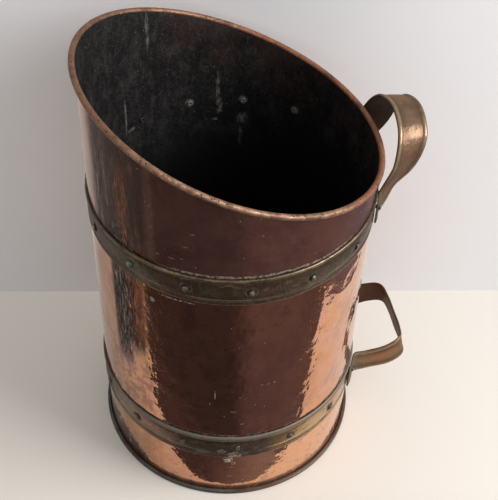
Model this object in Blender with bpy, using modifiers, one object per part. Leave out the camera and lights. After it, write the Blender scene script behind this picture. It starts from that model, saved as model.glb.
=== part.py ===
"""Coal scuttle of sheet copper with two riveted brass bands and two riveted brass strap handles.

Metres, +Z up. The origin is at the middle of the base, on the face that it rests on. The handles
are on the +X side, where the slanted mouth is low, and the pouring lip is on the -X side.
"""

import math

import bmesh
import bpy
from mathutils import Matrix, Vector

# The copper body: one rolled sheet, open at the slanted mouth. The mouth's low side stands over
# the middle of the upper band, and the lip stands over the low side by the slant.
WALL_RADIUS = 0.140
SHEET = 0.0012
MOUTH_ABOVE_BAND = 0.0483
MOUTH_SLANT = 0.1084
MOUTH_SAG = 0.005
MOUTH_TURN = math.radians(-2.5)
WALL_FACETS = 60

# The mouth's edge, curled outwards over a wire.
WIRE_RADIUS = 0.00145
CURL_SWEEP = math.radians(296)
CURL_STEPS = 7
WIRE_SIDES = 6

# The base, whose edge is turned up and over the foot flange of the wall.
BASE_SHEET = 0.0015
FLANGE_BEND = 0.0010
FLANGE_REACH = 0.0026
BASE_LIP_INSET = 0.0008
BASE_EDGE_ROUND = 0.0006
BEND_STEPS = 1

# The brass bands, of one pressed section.
BAND_SHEET = 0.0012
BAND_BEAD_RISE = 0.0009
BAND_LINE_DEPTH = 0.0004
UPPER_BAND_MIDDLE = 0.3353
UPPER_BAND_WIDTH = 0.0320
LOWER_BAND_MIDDLE = 0.0889
LOWER_BAND_WIDTH = 0.0364
UPPER_TURN = math.radians(3.1)
BAND_LAP = math.radians(8)
BAND_JOGGLE = math.radians(3)

# The semi-tubular rivets, whose tails are rolled over inside the wall.
RIVETS_PER_BAND = 15
RIVET_SIDES = 8
HEAD_RADIUS = 0.0037
HEAD_RISE = 0.0022
HEAD_EDGE = 0.0004
HEAD_STEPS = 2
SHANK_RADIUS = 0.0018
TAIL_RADIUS = 0.0031
TAIL_RISE = 0.0012
TAIL_BORE_RADIUS = 0.0012
TAIL_BORE_DEPTH = 0.0022

# The brass strap handles. Each has its middle on one band, between two of the band's rivets. A
# handle's half span is a share of how far its heels stand from its middle.
STRAP_SHEET = 0.0018
STRAP_BEAD_RISE = 0.0009
STRAP_STEPS = 3
FOOT_STEPS = 3
FOOT_TIP_SHARE = 0.80
HEEL_ANGLE = math.radians(21.5)
UPPER_STRAP_WIDTH = 0.0310
UPPER_FOOT_ANGLE = math.radians(28.5)
UPPER_REACH = 0.0380
UPPER_RISE = 0.0718
UPPER_SPAN_SHARE = 0.8406
LOWER_STRAP_WIDTH = 0.0330
LOWER_FOOT_ANGLE = math.radians(30.5)
LOWER_REACH = 0.0650
LOWER_RISE = 0.0080
LOWER_SPAN_SHARE = 0.9146

# What adjoining pieces keep between them, and what a cutter runs past what it cuts.
CLEARANCE = 0.0003
SEAT_CLEARANCE = 0.0004
CUT_OVERRUN = 0.0040

# Points of a turned profile nearer than this are one point, and steeper edges are shaded sharp.
MERGE_DISTANCE = SHEET / 100
SHARP_ANGLE = math.radians(40)

# A band's outer face from its lower to its upper edge: height share, bead share, line share.
BAND_FACE_SHARES = (
    (0.00, 0.00, 0.00),
    (0.10, 0.00, 0.00),
    (0.125, 0.00, 1.00),
    (0.15, 0.00, 0.00),
    (0.175, 0.00, 1.00),
    (0.20, 0.00, 0.00),
    (0.86, 0.00, 0.00),
    (0.89, 0.00, 1.00),
    (0.91, 0.70, 0.00),
    (0.95, 1.00, 0.00),
    (1.00, 0.30, 0.00),
)

# A strap's outer face from its lower to its upper edge: width share, bead share.
STRAP_FACE_SHARES = (
    (0.00, -0.70),
    (0.03, 0.60),
    (0.08, 1.00),
    (0.14, 0.55),
    (0.18, 0.00),
    (0.50, 0.35),
    (0.82, 0.00),
    (0.86, 0.55),
    (0.92, 1.00),
    (0.97, 0.60),
    (1.00, -0.70),
)

# Half of each handle from its heel to the middle of its grip, past the heel itself. Each row has
# shares of the reach, the rise and the half span, and then the strap's lean and twist in degrees.
UPPER_PATH_SHARES = (
    (0.14, 0.04, 1.08, 9, 12),
    (0.34, 0.20, 1.00, 34, 30),
    (0.67, 0.44, 0.95, 63, 20),
    (0.83, 0.69, 0.86, 74, 7),
    (0.94, 0.90, 0.60, 80, -3),
    (1.00, 1.00, 0.00, 84, 0),
)
LOWER_PATH_SHARES = (
    (0.26, -0.10, 0.99, 10, 2),
    (0.64, 0.50, 1.00, 14, 0),
    (0.92, 1.10, 0.86, 13, 0),
    (0.99, 0.95, 0.48, 12, 0),
    (1.00, 0.70, 0.00, 11, 0),
)

MOUTH_BACK = UPPER_BAND_MIDDLE + MOUTH_ABOVE_BAND
MOUTH_LIP = MOUTH_BACK + MOUTH_SLANT
FOOT_FLANGE_UNDERSIDE = BASE_SHEET + CLEARANCE
FLANGE_RADIUS = WALL_RADIUS + FLANGE_REACH
CURL_OUTSIDE = WIRE_RADIUS + CLEARANCE + SHEET
CURL_INSIDE = WIRE_RADIUS + CLEARANCE
CURL_MIDDLE_RADIUS = WALL_RADIUS + CURL_INSIDE
BAND_INNER_RADIUS = WALL_RADIUS + SEAT_CLEARANCE
BAND_OUTER_RADIUS = BAND_INNER_RADIUS + BAND_SHEET
BAND_CREST_RADIUS = BAND_OUTER_RADIUS + BAND_BEAD_RISE
LAP_STEP = BAND_SHEET + CLEARANCE
FOOT_INNER_RADIUS = BAND_CREST_RADIUS + SEAT_CLEARANCE
FOOT_MIDDLE_RADIUS = FOOT_INNER_RADIUS + STRAP_SHEET / 2
TAIL_SEAT_RADIUS = WALL_RADIUS - SHEET - CLEARANCE - SEAT_CLEARANCE
RIVET_ANGLE = math.tau / RIVETS_PER_BAND
FOOT_RIVETS = (-1, 1)
LAP_RIVET = 0


def clear_scene():
    for obj in list(bpy.data.objects):
        bpy.data.objects.remove(obj, do_unlink=True)


def new_collection(name):
    collection = bpy.data.collections.new(name)
    bpy.context.scene.collection.children.link(collection)
    return collection


def new_material(name, colour, roughness):
    material = bpy.data.materials.new(name)
    material.use_nodes = True
    shader = material.node_tree.nodes["Principled BSDF"]
    shader.inputs["Base Color"].default_value = (*colour, 1.0)
    shader.inputs["Metallic"].default_value = 1.0
    shader.inputs["Roughness"].default_value = roughness
    material.diffuse_color = (*colour, 1.0)
    return material


def add_object(name, mesh, collection, parent=None, material=None):
    obj = bpy.data.objects.new(name, mesh)
    collection.objects.link(obj)
    obj.parent = parent
    if material and not mesh.materials:
        mesh.materials.append(material)
    return obj


def add_frame(name, collection, height, turn):
    """An empty on the axis, which carries a band and what is riveted to it."""
    frame = add_object(name, None, collection)
    frame.location = (0, 0, height)
    frame.rotation_euler = (0, 0, turn)
    return frame


def smooth(mesh):
    mesh.shade_smooth()
    mesh.set_sharp_from_angle(angle=SHARP_ANGLE)


def turned_mesh(name, profile, sides, closed):
    """The mesh that a Screw modifier turns from a profile of (radius, height) points about Z."""
    outline = bpy.data.meshes.new(name + "_outline")
    points = [(radius, 0, height) for radius, height in profile]
    edges = [(i, i + 1) for i in range(len(points) - 1)]
    if closed:
        edges.append((len(points) - 1, 0))
    outline.from_pydata(points, edges, [])
    holder = bpy.data.objects.new(name + "_outline", outline)
    bpy.context.scene.collection.objects.link(holder)
    screw = holder.modifiers.new("Turn", "SCREW")
    screw.steps = sides
    screw.render_steps = sides
    screw.use_merge_vertices = True
    screw.merge_threshold = MERGE_DISTANCE
    graph = bpy.context.evaluated_depsgraph_get()
    mesh = bpy.data.meshes.new_from_object(holder.evaluated_get(graph))
    mesh.name = name
    bpy.data.objects.remove(holder, do_unlink=True)
    bpy.data.meshes.remove(outline)
    smooth(mesh)
    return mesh


def lofted_mesh(name, sections):
    """A solid through a row of sections with the same number of points, capped at both ends."""
    bm = bmesh.new()
    rings = [[bm.verts.new(point) for point in section] for section in sections]
    count = len(sections[0])
    for ring, following in zip(rings, rings[1:]):
        for i in range(count):
            j = (i + 1) % count
            bm.faces.new((ring[i], ring[j], following[j], following[i]))
    bm.faces.new(rings[0])
    bm.faces.new(rings[-1])
    bmesh.ops.recalc_face_normals(bm, faces=bm.faces)
    mesh = bpy.data.meshes.new(name)
    bm.to_mesh(mesh)
    bm.free()
    smooth(mesh)
    return mesh


def arc(middle, radius, start, sweep, steps):
    """Points (across, up) along an arc, both ends included."""
    angles = [start + sweep * i / steps for i in range(steps + 1)]
    return [
        (middle[0] + radius * math.cos(a), middle[1] + radius * math.sin(a)) for a in angles
    ]


def mouth_height(azimuth):
    """Height of the wire's middle round the slanted mouth, which hangs a little at its sides."""
    away = azimuth - MOUTH_TURN
    middle = (MOUTH_LIP + MOUTH_BACK) / 2
    slant = (MOUTH_LIP - MOUTH_BACK) / 2
    return middle - slant * math.cos(away) - MOUTH_SAG * math.sin(away) ** 2


def lift_to_mouth(mesh):
    """Raises every point above the middle of the lower mouth from a level rim to the slanted one."""
    for vertex in mesh.vertices:
        if vertex.co.z > MOUTH_BACK / 2:
            azimuth = math.atan2(vertex.co.y, vertex.co.x)
            vertex.co.z += mouth_height(azimuth) - MOUTH_BACK
    mesh.update()


def body_shell(collection, material):
    """The wall with its foot flange and the curl over the wire, turned and then slanted."""
    rim = (CURL_MIDDLE_RADIUS, MOUTH_BACK)
    curl_outside = arc(rim, CURL_OUTSIDE, math.pi, -CURL_SWEEP, CURL_STEPS)
    curl_inside = arc(rim, CURL_INSIDE, math.pi - CURL_SWEEP, CURL_SWEEP, CURL_STEPS)
    flange_top = FOOT_FLANGE_UNDERSIDE + SHEET
    bend = (WALL_RADIUS + FLANGE_BEND, flange_top + FLANGE_BEND)
    bend_inner = arc(bend, FLANGE_BEND, math.pi, math.pi / 2, BEND_STEPS)
    bend_outer = arc(bend, FLANGE_BEND + SHEET, math.pi * 3 / 2, -math.pi / 2, BEND_STEPS)
    flange_edge = [(FLANGE_RADIUS, flange_top), (FLANGE_RADIUS, FOOT_FLANGE_UNDERSIDE)]
    profile = curl_outside + curl_inside + bend_inner + flange_edge + bend_outer
    mesh = turned_mesh("body_shell", profile, WALL_FACETS, True)
    lift_to_mouth(mesh)
    return add_object("body_shell", mesh, collection, material=material)


def rim_wire(collection, material):
    rim = (CURL_MIDDLE_RADIUS, MOUTH_BACK)
    step = math.tau / WIRE_SIDES
    profile = arc(rim, WIRE_RADIUS, math.pi, step - math.tau, WIRE_SIDES - 1)
    mesh = turned_mesh("rim_wire", profile, WALL_FACETS, True)
    lift_to_mouth(mesh)
    return add_object("rim_wire", mesh, collection, material=material)


def base_plate(collection, material):
    """A flat disc whose edge wraps round the wall's foot flange and lies on top of it."""
    inner_edge = FLANGE_RADIUS + CLEARANCE
    outer_edge = inner_edge + BASE_SHEET
    lip_underside = FOOT_FLANGE_UNDERSIDE + SHEET + CLEARANCE
    lip_top = lip_underside + BASE_SHEET
    lip_radius = WALL_RADIUS + BASE_LIP_INSET
    corner = outer_edge - BASE_EDGE_ROUND
    profile = [(0, BASE_SHEET), (inner_edge, BASE_SHEET), (inner_edge, lip_underside)]
    profile += [(lip_radius, lip_underside), (lip_radius, lip_top)]
    profile += [(corner, lip_top), (outer_edge, lip_top - BASE_EDGE_ROUND)]
    profile += [(outer_edge, BASE_EDGE_ROUND), (corner, 0), (0, 0)]
    mesh = turned_mesh("base_plate", profile, WALL_FACETS, False)
    return add_object("base_plate", mesh, collection, material=material)


def band_section(azimuth, step_out, relief, width):
    """One section of a band, standing at an azimuth. The relief share flattens its bead."""
    inner = BAND_INNER_RADIUS + step_out
    points = [(inner, width / 2), (inner, -width / 2)]
    for height_share, bead_share, line_share in BAND_FACE_SHARES:
        rise = BAND_BEAD_RISE * bead_share - BAND_LINE_DEPTH * line_share
        points.append((inner + BAND_SHEET + rise * relief, width * (height_share - 1 / 2)))
    turn = Matrix.Rotation(azimuth, 3, "Z")
    return [turn @ Vector((radius, 0, height)) for radius, height in points]


def band(name, width, collection, frame, material):
    """A strip once round the wall whose last stretch steps out and laps over its flattened start."""
    lap = LAP_RIVET * RIVET_ANGLE
    start, full = lap - BAND_LAP / 2, lap + BAND_LAP / 2
    facet = math.tau / WALL_FACETS
    sections = [band_section(start, 0, 0, width), band_section(full, 0, 0, width)]
    count = math.floor((math.tau - BAND_LAP - 2 * BAND_JOGGLE) / facet)
    first = full + BAND_JOGGLE
    last = start + math.tau - BAND_JOGGLE
    for i in range(count + 1):
        azimuth = first + (last - first) * i / count
        sections.append(band_section(azimuth, 0, 1, width))
    for azimuth in (start + math.tau, full + math.tau):
        sections.append(band_section(azimuth, LAP_STEP, 1, width))
    mesh = lofted_mesh(name, sections)
    return add_object(name, mesh, collection, frame, material)


def rivet_mesh(name, head_seat):
    """A rivet along +X: domed head outside, shank, and a tail rolled round its bore inside."""
    middle_angle = 2 * math.atan(HEAD_RISE / HEAD_RADIUS)
    dome_radius = HEAD_RADIUS / math.sin(middle_angle)
    profile = []
    for i in range(HEAD_STEPS + 1):
        angle = middle_angle * i / HEAD_STEPS
        rise = dome_radius * (math.cos(angle) - math.cos(middle_angle))
        profile.append((dome_radius * math.sin(angle), head_seat + HEAD_EDGE + rise))
    profile += [(HEAD_RADIUS, head_seat), (SHANK_RADIUS, head_seat)]
    profile += [(SHANK_RADIUS, TAIL_SEAT_RADIUS), (TAIL_RADIUS, TAIL_SEAT_RADIUS)]
    roll = (TAIL_RADIUS + TAIL_BORE_RADIUS) / 2
    tail_end = TAIL_SEAT_RADIUS - TAIL_RISE
    profile += [(roll, tail_end), (TAIL_BORE_RADIUS, tail_end + TAIL_BORE_DEPTH)]
    profile += [(0, tail_end + TAIL_BORE_DEPTH)]
    mesh = turned_mesh(name, profile, RIVET_SIDES, False)
    mesh.transform(Matrix.Rotation(math.pi / 2, 4, "Y"))
    return mesh


def head_seat_for(index):
    """What a rivet's head bears on: the band, its lap, or a handle's foot over the band."""
    if index in FOOT_RIVETS:
        return FOOT_INNER_RADIUS + STRAP_SHEET + CLEARANCE
    if index == LAP_RIVET:
        return BAND_OUTER_RADIUS + LAP_STEP + CLEARANCE
    return BAND_OUTER_RADIUS + CLEARANCE


def rivets(band_name, collection, frame, material):
    """The rivets of one band. Number 00 is at the lap, midway between the handle's feet."""
    meshes = {}
    for number in range(RIVETS_PER_BAND):
        index = number if number <= RIVETS_PER_BAND // 2 else number - RIVETS_PER_BAND
        seat = head_seat_for(index)
        if seat not in meshes:
            meshes[seat] = rivet_mesh(f"{band_name}_rivet", seat)
        name = f"{band_name}_rivet_{number:02d}"
        rivet = add_object(name, meshes[seat], collection, frame, material)
        rivet.rotation_euler = (0, 0, index * RIVET_ANGLE)


def rivet_hole_cutter(name, collection, frame):
    """Pins through every rivet place of one band, a clearance wider than the shanks."""
    start = TAIL_SEAT_RADIUS - CUT_OVERRUN
    end = FOOT_INNER_RADIUS + STRAP_SHEET + CUT_OVERRUN
    bm = bmesh.new()
    for i in range(RIVETS_PER_BAND):
        place = Matrix.Rotation(i * RIVET_ANGLE, 4, "Z")
        place @= Matrix.Translation(((start + end) / 2, 0, 0))
        place @= Matrix.Rotation(math.pi / 2, 4, "Y")
        bmesh.ops.create_cone(
            bm,
            cap_ends=True,
            segments=RIVET_SIDES,
            radius1=SHANK_RADIUS + CLEARANCE,
            radius2=SHANK_RADIUS + CLEARANCE,
            depth=end - start,
            matrix=place,
        )
    mesh = bpy.data.meshes.new(name)
    bm.to_mesh(mesh)
    bm.free()
    cutter = add_object(name, mesh, collection, frame)
    cutter.hide_render = True
    cutter.display_type = "WIRE"
    return cutter


def cut(obj, cutter):
    modifier = obj.modifiers.new("Cut " + cutter.name, "BOOLEAN")
    modifier.operation = "DIFFERENCE"
    modifier.solver = "EXACT"
    modifier.object = cutter


def hermite(start, end, leaving, arriving, t):
    """A cubic from start to end with the slopes leaving and arriving, for numbers or vectors."""
    u = t - 1
    return (
        start * (u * u * (1 + 2 * t))
        + leaving * (t * u * u)
        + end * (t * t * (1 - 2 * u))
        + arriving * (t * t * u)
    )


def through(knots, first_slope, last_slope, steps):
    """Values on a smooth curve through the knots, the first one left out."""
    slopes = [first_slope]
    slopes += [(after - before) / 2 for before, after in zip(knots, knots[2:])]
    slopes += [last_slope]
    values = []
    for i in range(len(knots) - 1):
        for step in range(1, steps + 1):
            t = step / steps
            values.append(hermite(knots[i], knots[i + 1], slopes[i], slopes[i + 1], t))
    return values


def strap_half(width, foot_angle, reach, rise, span_of_heels, path_shares):
    """Half of a handle, from the tip of one foot to the middle of the grip, at height zero.

    Each station is (middle, lean, twist, width, relief). The lean tips the strap's upper edge
    towards the body and the twist swings it away from the middle of the handle.
    """
    stations = []
    for i in range(FOOT_STEPS + 1):
        angle = foot_angle + (HEEL_ANGLE - foot_angle) * i / FOOT_STEPS
        place = Vector((math.cos(angle), -math.sin(angle), 0)) * FOOT_MIDDLE_RADIUS
        tip = FOOT_TIP_SHARE if i == 0 else 1
        stations.append((place, 0, 0, width * tip, 0))
    heel = stations[-1][0]
    half_span = -heel.y * span_of_heels
    knots, leans, twists = [heel], [0], [0]
    for reach_share, rise_share, span_share, lean, twist in path_shares:
        across = heel.x + reach * reach_share
        knots.append(Vector((across, -half_span * span_share, rise * rise_share)))
        leans.append(math.radians(lean))
        twists.append(math.radians(twist))
    along_foot = Vector((math.sin(HEEL_ANGLE), math.cos(HEEL_ANGLE), 0))
    first_slope = along_foot * (knots[1] - heel).length
    last_slope = Vector((0, -knots[-2].y, 0))
    places = through(knots, first_slope, last_slope, STRAP_STEPS)
    leans = through(leans, 0, 0, STRAP_STEPS)
    twists = through(twists, 0, twists[-1] - twists[-2], STRAP_STEPS)
    for i, place in enumerate(places):
        relief = min(1, (i + 1) / STRAP_STEPS)
        stations.append((place, leans[i], twists[i], width, relief))
    return stations


def mirrored(station):
    place, lean, twist, width, relief = station
    return (Vector((place.x, -place.y, place.z)), lean, -twist, width, relief)


def strap_section(station, along):
    """One section of a strap: its beaded outer face, then its flat inner face."""
    place, lean, twist, width, relief = station
    across = Vector(
        (
            -math.sin(lean) * math.cos(twist),
            -math.sin(twist),
            math.cos(lean) * math.cos(twist),
        )
    )
    across = (across - along * across.dot(along)).normalized()
    outward = along.cross(across)
    points = []
    for width_share, bead_share in STRAP_FACE_SHARES:
        out = STRAP_SHEET / 2 + STRAP_BEAD_RISE * bead_share * relief
        points.append(place + across * width * (width_share - 1 / 2) + outward * out)
    for side in (1 / 2, -1 / 2):
        points.append(place + across * width * side - outward * STRAP_SHEET / 2)
    return points


def strap_handle(name, collection, frame, material, *sizes):
    half = strap_half(*sizes)
    stations = half + [mirrored(station) for station in reversed(half[:-1])]
    places = [station[0] for station in stations]
    sections = []
    for i, station in enumerate(stations):
        before = places[max(i - 1, 0)]
        after = places[min(i + 1, len(places) - 1)]
        sections.append(strap_section(station, (after - before).normalized()))
    mesh = lofted_mesh(name, sections)
    return add_object(name, mesh, collection, frame, material)


def main():
    clear_scene()
    parts = new_collection("coal_scuttle")
    cutters = new_collection("cutters")
    copper = new_material("tarnished copper sheet", (0.30, 0.12, 0.08), 0.35)
    base_copper = new_material("dull copper base", (0.20, 0.10, 0.07), 0.5)
    brass = new_material("aged brass band", (0.26, 0.19, 0.09), 0.4)
    upper_brass = new_material("aged brass upper handle", (0.36, 0.24, 0.12), 0.35)
    lower_brass = new_material("aged brass lower handle", (0.30, 0.17, 0.09), 0.4)
    rivet_copper = new_material("copper rivets", (0.45, 0.22, 0.15), 0.35)
    steel = new_material("steel rim wire", (0.35, 0.34, 0.33), 0.5)

    shell = body_shell(parts, copper)
    rim_wire(parts, steel)
    base_plate(parts, base_copper)

    upper = add_frame("upper_band_frame", parts, UPPER_BAND_MIDDLE, UPPER_TURN)
    lower = add_frame("lower_band_frame", parts, LOWER_BAND_MIDDLE, 0)
    upper_holes = rivet_hole_cutter("upper_rivet_holes", cutters, upper)
    lower_holes = rivet_hole_cutter("lower_rivet_holes", cutters, lower)
    cut(shell, upper_holes)
    cut(shell, lower_holes)

    cut(band("upper_band", UPPER_BAND_WIDTH, parts, upper, brass), upper_holes)
    cut(band("lower_band", LOWER_BAND_WIDTH, parts, lower, brass), lower_holes)
    upper_sizes = (UPPER_STRAP_WIDTH, UPPER_FOOT_ANGLE, UPPER_REACH, UPPER_RISE)
    upper_sizes += (UPPER_SPAN_SHARE, UPPER_PATH_SHARES)
    lower_sizes = (LOWER_STRAP_WIDTH, LOWER_FOOT_ANGLE, LOWER_REACH, LOWER_RISE)
    lower_sizes += (LOWER_SPAN_SHARE, LOWER_PATH_SHARES)
    cut(strap_handle("upper_handle", parts, upper, upper_brass, *upper_sizes), upper_holes)
    cut(strap_handle("lower_handle", parts, lower, lower_brass, *lower_sizes), lower_holes)
    rivets("upper", parts, upper, rivet_copper)
    rivets("lower", parts, lower, rivet_copper)


if __name__ == "__main__":
    main()
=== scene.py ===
"""Looks of a copper coal scuttle with riveted brass bands and brass strap handles."""

import math
from typing import NamedTuple

import bmesh
import bpy
from mathutils import Matrix, Vector


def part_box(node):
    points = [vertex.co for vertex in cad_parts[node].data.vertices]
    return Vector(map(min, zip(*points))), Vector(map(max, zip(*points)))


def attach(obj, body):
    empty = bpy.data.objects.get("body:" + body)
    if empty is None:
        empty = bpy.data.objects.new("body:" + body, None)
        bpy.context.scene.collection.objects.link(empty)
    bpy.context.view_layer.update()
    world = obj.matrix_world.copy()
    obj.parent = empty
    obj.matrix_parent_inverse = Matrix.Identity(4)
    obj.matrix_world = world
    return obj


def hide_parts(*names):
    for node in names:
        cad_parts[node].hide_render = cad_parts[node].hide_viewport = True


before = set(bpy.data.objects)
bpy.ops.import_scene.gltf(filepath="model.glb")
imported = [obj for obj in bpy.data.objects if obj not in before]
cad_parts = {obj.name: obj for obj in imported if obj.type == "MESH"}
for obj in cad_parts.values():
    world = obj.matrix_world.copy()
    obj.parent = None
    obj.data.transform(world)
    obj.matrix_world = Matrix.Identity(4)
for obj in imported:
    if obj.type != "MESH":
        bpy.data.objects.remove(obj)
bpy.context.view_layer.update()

bl_info = {
    "name": "Copper coal scuttle",
    "version": (1, 0, 0),
    "blender": (4, 5, 0),
    "location": "3D View > Sidebar > Scuttle",
    "description": "Hammered copper wall, brass bands, rivets and strap handles, with their stage",
    "category": "Object",
}

UPPER_BAND_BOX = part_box("upper_band")
LOWER_BAND_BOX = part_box("lower_band")
RIVETS = 15
FOOT_RIVETS = (1, 14)
SMOOTH = "SMOOTHSTEP"

# Radii of the wall's outside and inside, of the floor's outer edge, where its soot ends, of a
# band's middle, of its face and of its rivets' heads.
WALL_RADIUS = 0.140
INSIDE_RADIUS = 0.1388
FLOOR_EDGE = 0.1395
BAND_RADIUS = 0.142
BAND_FACE_RADIUS = 0.1418
HEAD_PLACE_RADIUS = 0.1425

# The wall's mesh: sides, spacing of its outer rows, rows over the upper band, steps round the
# bend at the foot and inside and outside the rolled rim, and rows and spacing inside.
BODY_SIDES = 420
ROW_SPACING = 0.0020
UPPER_ROWS = 12
BEND_STEPS = 4
CURL_STEPS = (8, 18)
INSIDE_ROWS = 6
INSIDE_SPACING = 0.05

# The hammer marks fade in over the foot within MARKS_FADE metres. The slow waves fade out towards
# the rim, on the last WAVES_FADE share of the way up from the upper band. A mark's middle lies
# MARK_MIDDLE of its depth inside the wall's radius, and its edge stands out past it. Marks are
# taller than wide by 1 over MARK_FLATNESS, and run together by MARK_BLEND. The rolled rim's sheet
# ends CURL_END degrees below level.
MARKS_FADE = 0.012
WAVES_FADE = 0.15
MARK_MIDDLE = 0.2
MARK_FLATNESS = 0.72
MARK_BLEND = 0.25
MARK_SEED = 4.0
CURL_END = 116

# Where a face of the body is.
OUTSIDE, RIM, INSIDE = 0, 1, 2

# Edges sharper than this, in degrees, stay sharp on the wall, on turned pieces and on strips.
BODY_SMOOTH = 50
TURNED_SMOOTH = 35
STRIP_SMOOTH = 60

# The base plate: sides, space between its lip and the wall, and how its edges are rounded on top
# and underneath.
BASE_SIDES = 240
LIP_GAP = 0.0008
EDGE_ROUND = (0.0004, 0.0012)
UNDER_ROUND = (0.0003, 0.0010)

# A rivet: sides, steps up its dome, height of its head's edge, radius of its shank, space between
# its tail and the wall, depth of the tail's bore, and how far past its bearing face points still
# count as tail. The rolled tail is in shares of its radius and heights from its bearing face.
RIVET_SIDES = 20
DOME_STEPS = 6
HEAD_EDGE = 0.0004
SHANK_RADIUS = 0.0018
TAIL_GAP = 0.0007
TAIL_BORE = 0.0018
TAIL_END = 0.0020
TAIL_SHAPE = (
    (1.00, 0.0), (1.00, -0.0004), (0.88, -0.0009), (0.70, -0.0012), (0.50, -0.0009),
    (0.39, -0.0002), (0.36, TAIL_BORE), (0.00, TAIL_BORE),
)

# A band: steps round it, and how long its lap and the bend next to it are, in degrees.
BAND_STEPS = 280
BAND_LAP = 8
BAND_BEND = 3

# A band's outer face from its lower to its upper edge: height share, then how far it stands out.
BAND_FACE = (
    (0.000, -0.0004), (0.008, 0.0), (0.085, 0.0), (0.105, -0.0004), (0.125, 0.0001),
    (0.150, 0.0003), (0.175, 0.0001), (0.195, -0.0004), (0.215, 0.0), (0.350, 0.0001),
    (0.530, 0.0002), (0.700, 0.0001), (0.835, 0.0), (0.860, -0.0004), (0.880, -0.0001),
    (0.900, 0.0006), (0.925, 0.0009), (0.955, 0.0009), (0.980, 0.0006), (1.000, 0.0),
)

# A strap's outer face from its lower to its upper edge: width share, bead share.
STRAP_FACE = (
    (0.00, -0.70), (0.02, 0.30), (0.05, 0.90), (0.09, 1.00), (0.13, 0.65), (0.165, -0.20),
    (0.20, 0.00), (0.35, 0.25), (0.50, 0.35), (0.65, 0.25), (0.80, 0.00), (0.835, -0.20),
    (0.87, 0.65), (0.91, 1.00), (0.95, 0.90), (0.98, 0.30), (1.00, -0.70),
)

# A strap's flat inner face from its upper to its lower edge: width share from the middle.
STRAP_BACK = (0.5, 0.48, 0.2, -0.2, -0.48, -0.5)

# Where a foot has its sections, as shares of the way from its tip to its heel. The tip has
# TIP_WIDTH of the strap's width and no beads, and both grow along the foot at these rates.
FOOT_STATIONS = (0, 0.06, 0.35, 0.7, 1)
TIP_WIDTH, WIDTH_GROWS = 0.80, 0.6
BEADS_GROW = 3

# How much of a strap's width its rusty core takes, and how many of its sections past its heel the
# green of its foot takes to fade.
CORE_WIDTH = 0.75
FOOT_FADE = 9

# A spot's edge lies on average at SPOT_EDGE of its half width, and the noise that tears it has
# RAGGED_SCALE cells a metre. A speck is full over SPECK_CORE of its radius.
SPOT_EDGE = 0.8
RAGGED_SCALE = 260.0
SPECK_CORE = 0.4

# Grime along the bands' edges on the wall: from height, to height, softness.
BAND_EDGES = (
    (0.3505, 0.3528, 0.0014), (0.3176, 0.3200, 0.0014),
    (0.1066, 0.1098, 0.0012), (0.0694, 0.0712, 0.0012),
)

# Dried flecks on the wall's front: azimuth in degrees, height and width. All are equally tall.
FLECK_TALL = 0.0017
FLECKS = (
    (-98.3, 0.1520, 0.0080), (-94.3, 0.1298, 0.0045), (-95.6, 0.1755, 0.0040),
    (-99.9, 0.0608, 0.0080), (-98.5, 0.0488, 0.0110), (-98.8, 0.0305, 0.0090),
    (-86.7, 0.1930, 0.0050), (-84.0, 0.1925, 0.0040), (-81.2, 0.1931, 0.0040),
    (-128.0, 0.3660, 0.0050), (-122.6, 0.3665, 0.0080), (-118.6, 0.3690, 0.0050),
    (-116.9, 0.3850, 0.0060), (-114.2, 0.4020, 0.0050),
)

# Dried crusts on the wall and on the lower band, and dried runs inside the wall: azimuth in
# degrees, height, width and how tall.
LOW_CRUSTS = ((-99.9, 0.0630, 0.013, 0.012), (-97.5, 0.0560, 0.006, 0.006))
BAND_CRUSTS = ((-97.4, 0.0742, 0.018, 0.014), (-102.6, 0.0820, 0.010, 0.008))
DRIED_RUNS = (
    (86.3, 0.350, 0.0050, 0.050), (85.6, 0.328, 0.0090, 0.026), (87.6, 0.309, 0.0070, 0.005),
    (75.3, 0.311, 0.0150, 0.016), (75.8, 0.285, 0.0050, 0.030), (118.0, 0.440, 0.0050, 0.060),
    (132.0, 0.350, 0.0035, 0.070), (129.0, 0.330, 0.0120, 0.006),
)

# Round a rivet, how far from its middle something is full, and gone: the outside and the inside
# of its green rim, its dirt, and the dusty ring round its tail inside the wall.
SEAT_OUTSIDE = (0.0056, 0.0066)
SEAT_INSIDE = (0.0046, 0.0054)
SEAT_DIRT = (0.0050, 0.0075)
TAIL_RING = (0.0043, 0.0056)

# Half of each handle past its heel: shares of the reach, the rise and the half span, and then
# the strap's lean and twist in degrees. These are the solid's own.
UPPER_PATH = (
    (0.14, 0.04, 1.08, 9, 12),
    (0.34, 0.20, 1.00, 34, 30),
    (0.67, 0.44, 0.95, 63, 20),
    (0.83, 0.69, 0.86, 74, 7),
    (0.94, 0.90, 0.60, 80, -3),
    (1.00, 1.00, 0.00, 84, 0),
)
LOWER_PATH = (
    (0.26, -0.10, 0.99, 10, 2),
    (0.64, 0.50, 1.00, 14, 0),
    (0.92, 1.10, 0.86, 13, 0),
    (0.99, 0.95, 0.48, 12, 0),
    (1.00, 0.70, 0.00, 11, 0),
)


class StrapShape(NamedTuple):
    """A handle's strap, from its foot's tip at an angle in degrees to the middle of its grip.

    Its reach and rise are in metres. Its span is a share of the space between its heels.
    """

    width: float
    foot_angle: float
    reach: float
    rise: float
    span: float
    path: tuple
    steps: int


class StrapLook(NamedTuple):
    """How a strap has aged: its brass, how rusty its core and its edges are, and a seed."""

    colour: str
    red: float
    red_edge: float
    seed: float


class BandLook(NamedTuple):
    """How a band has aged: its film, its film in front, which is also painted reflection of the
    dark room, the azimuth where it is darkest, and how golden it is.
    """

    film: float
    front_film_and_reflection: float
    limb: float
    golden: float


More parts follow.
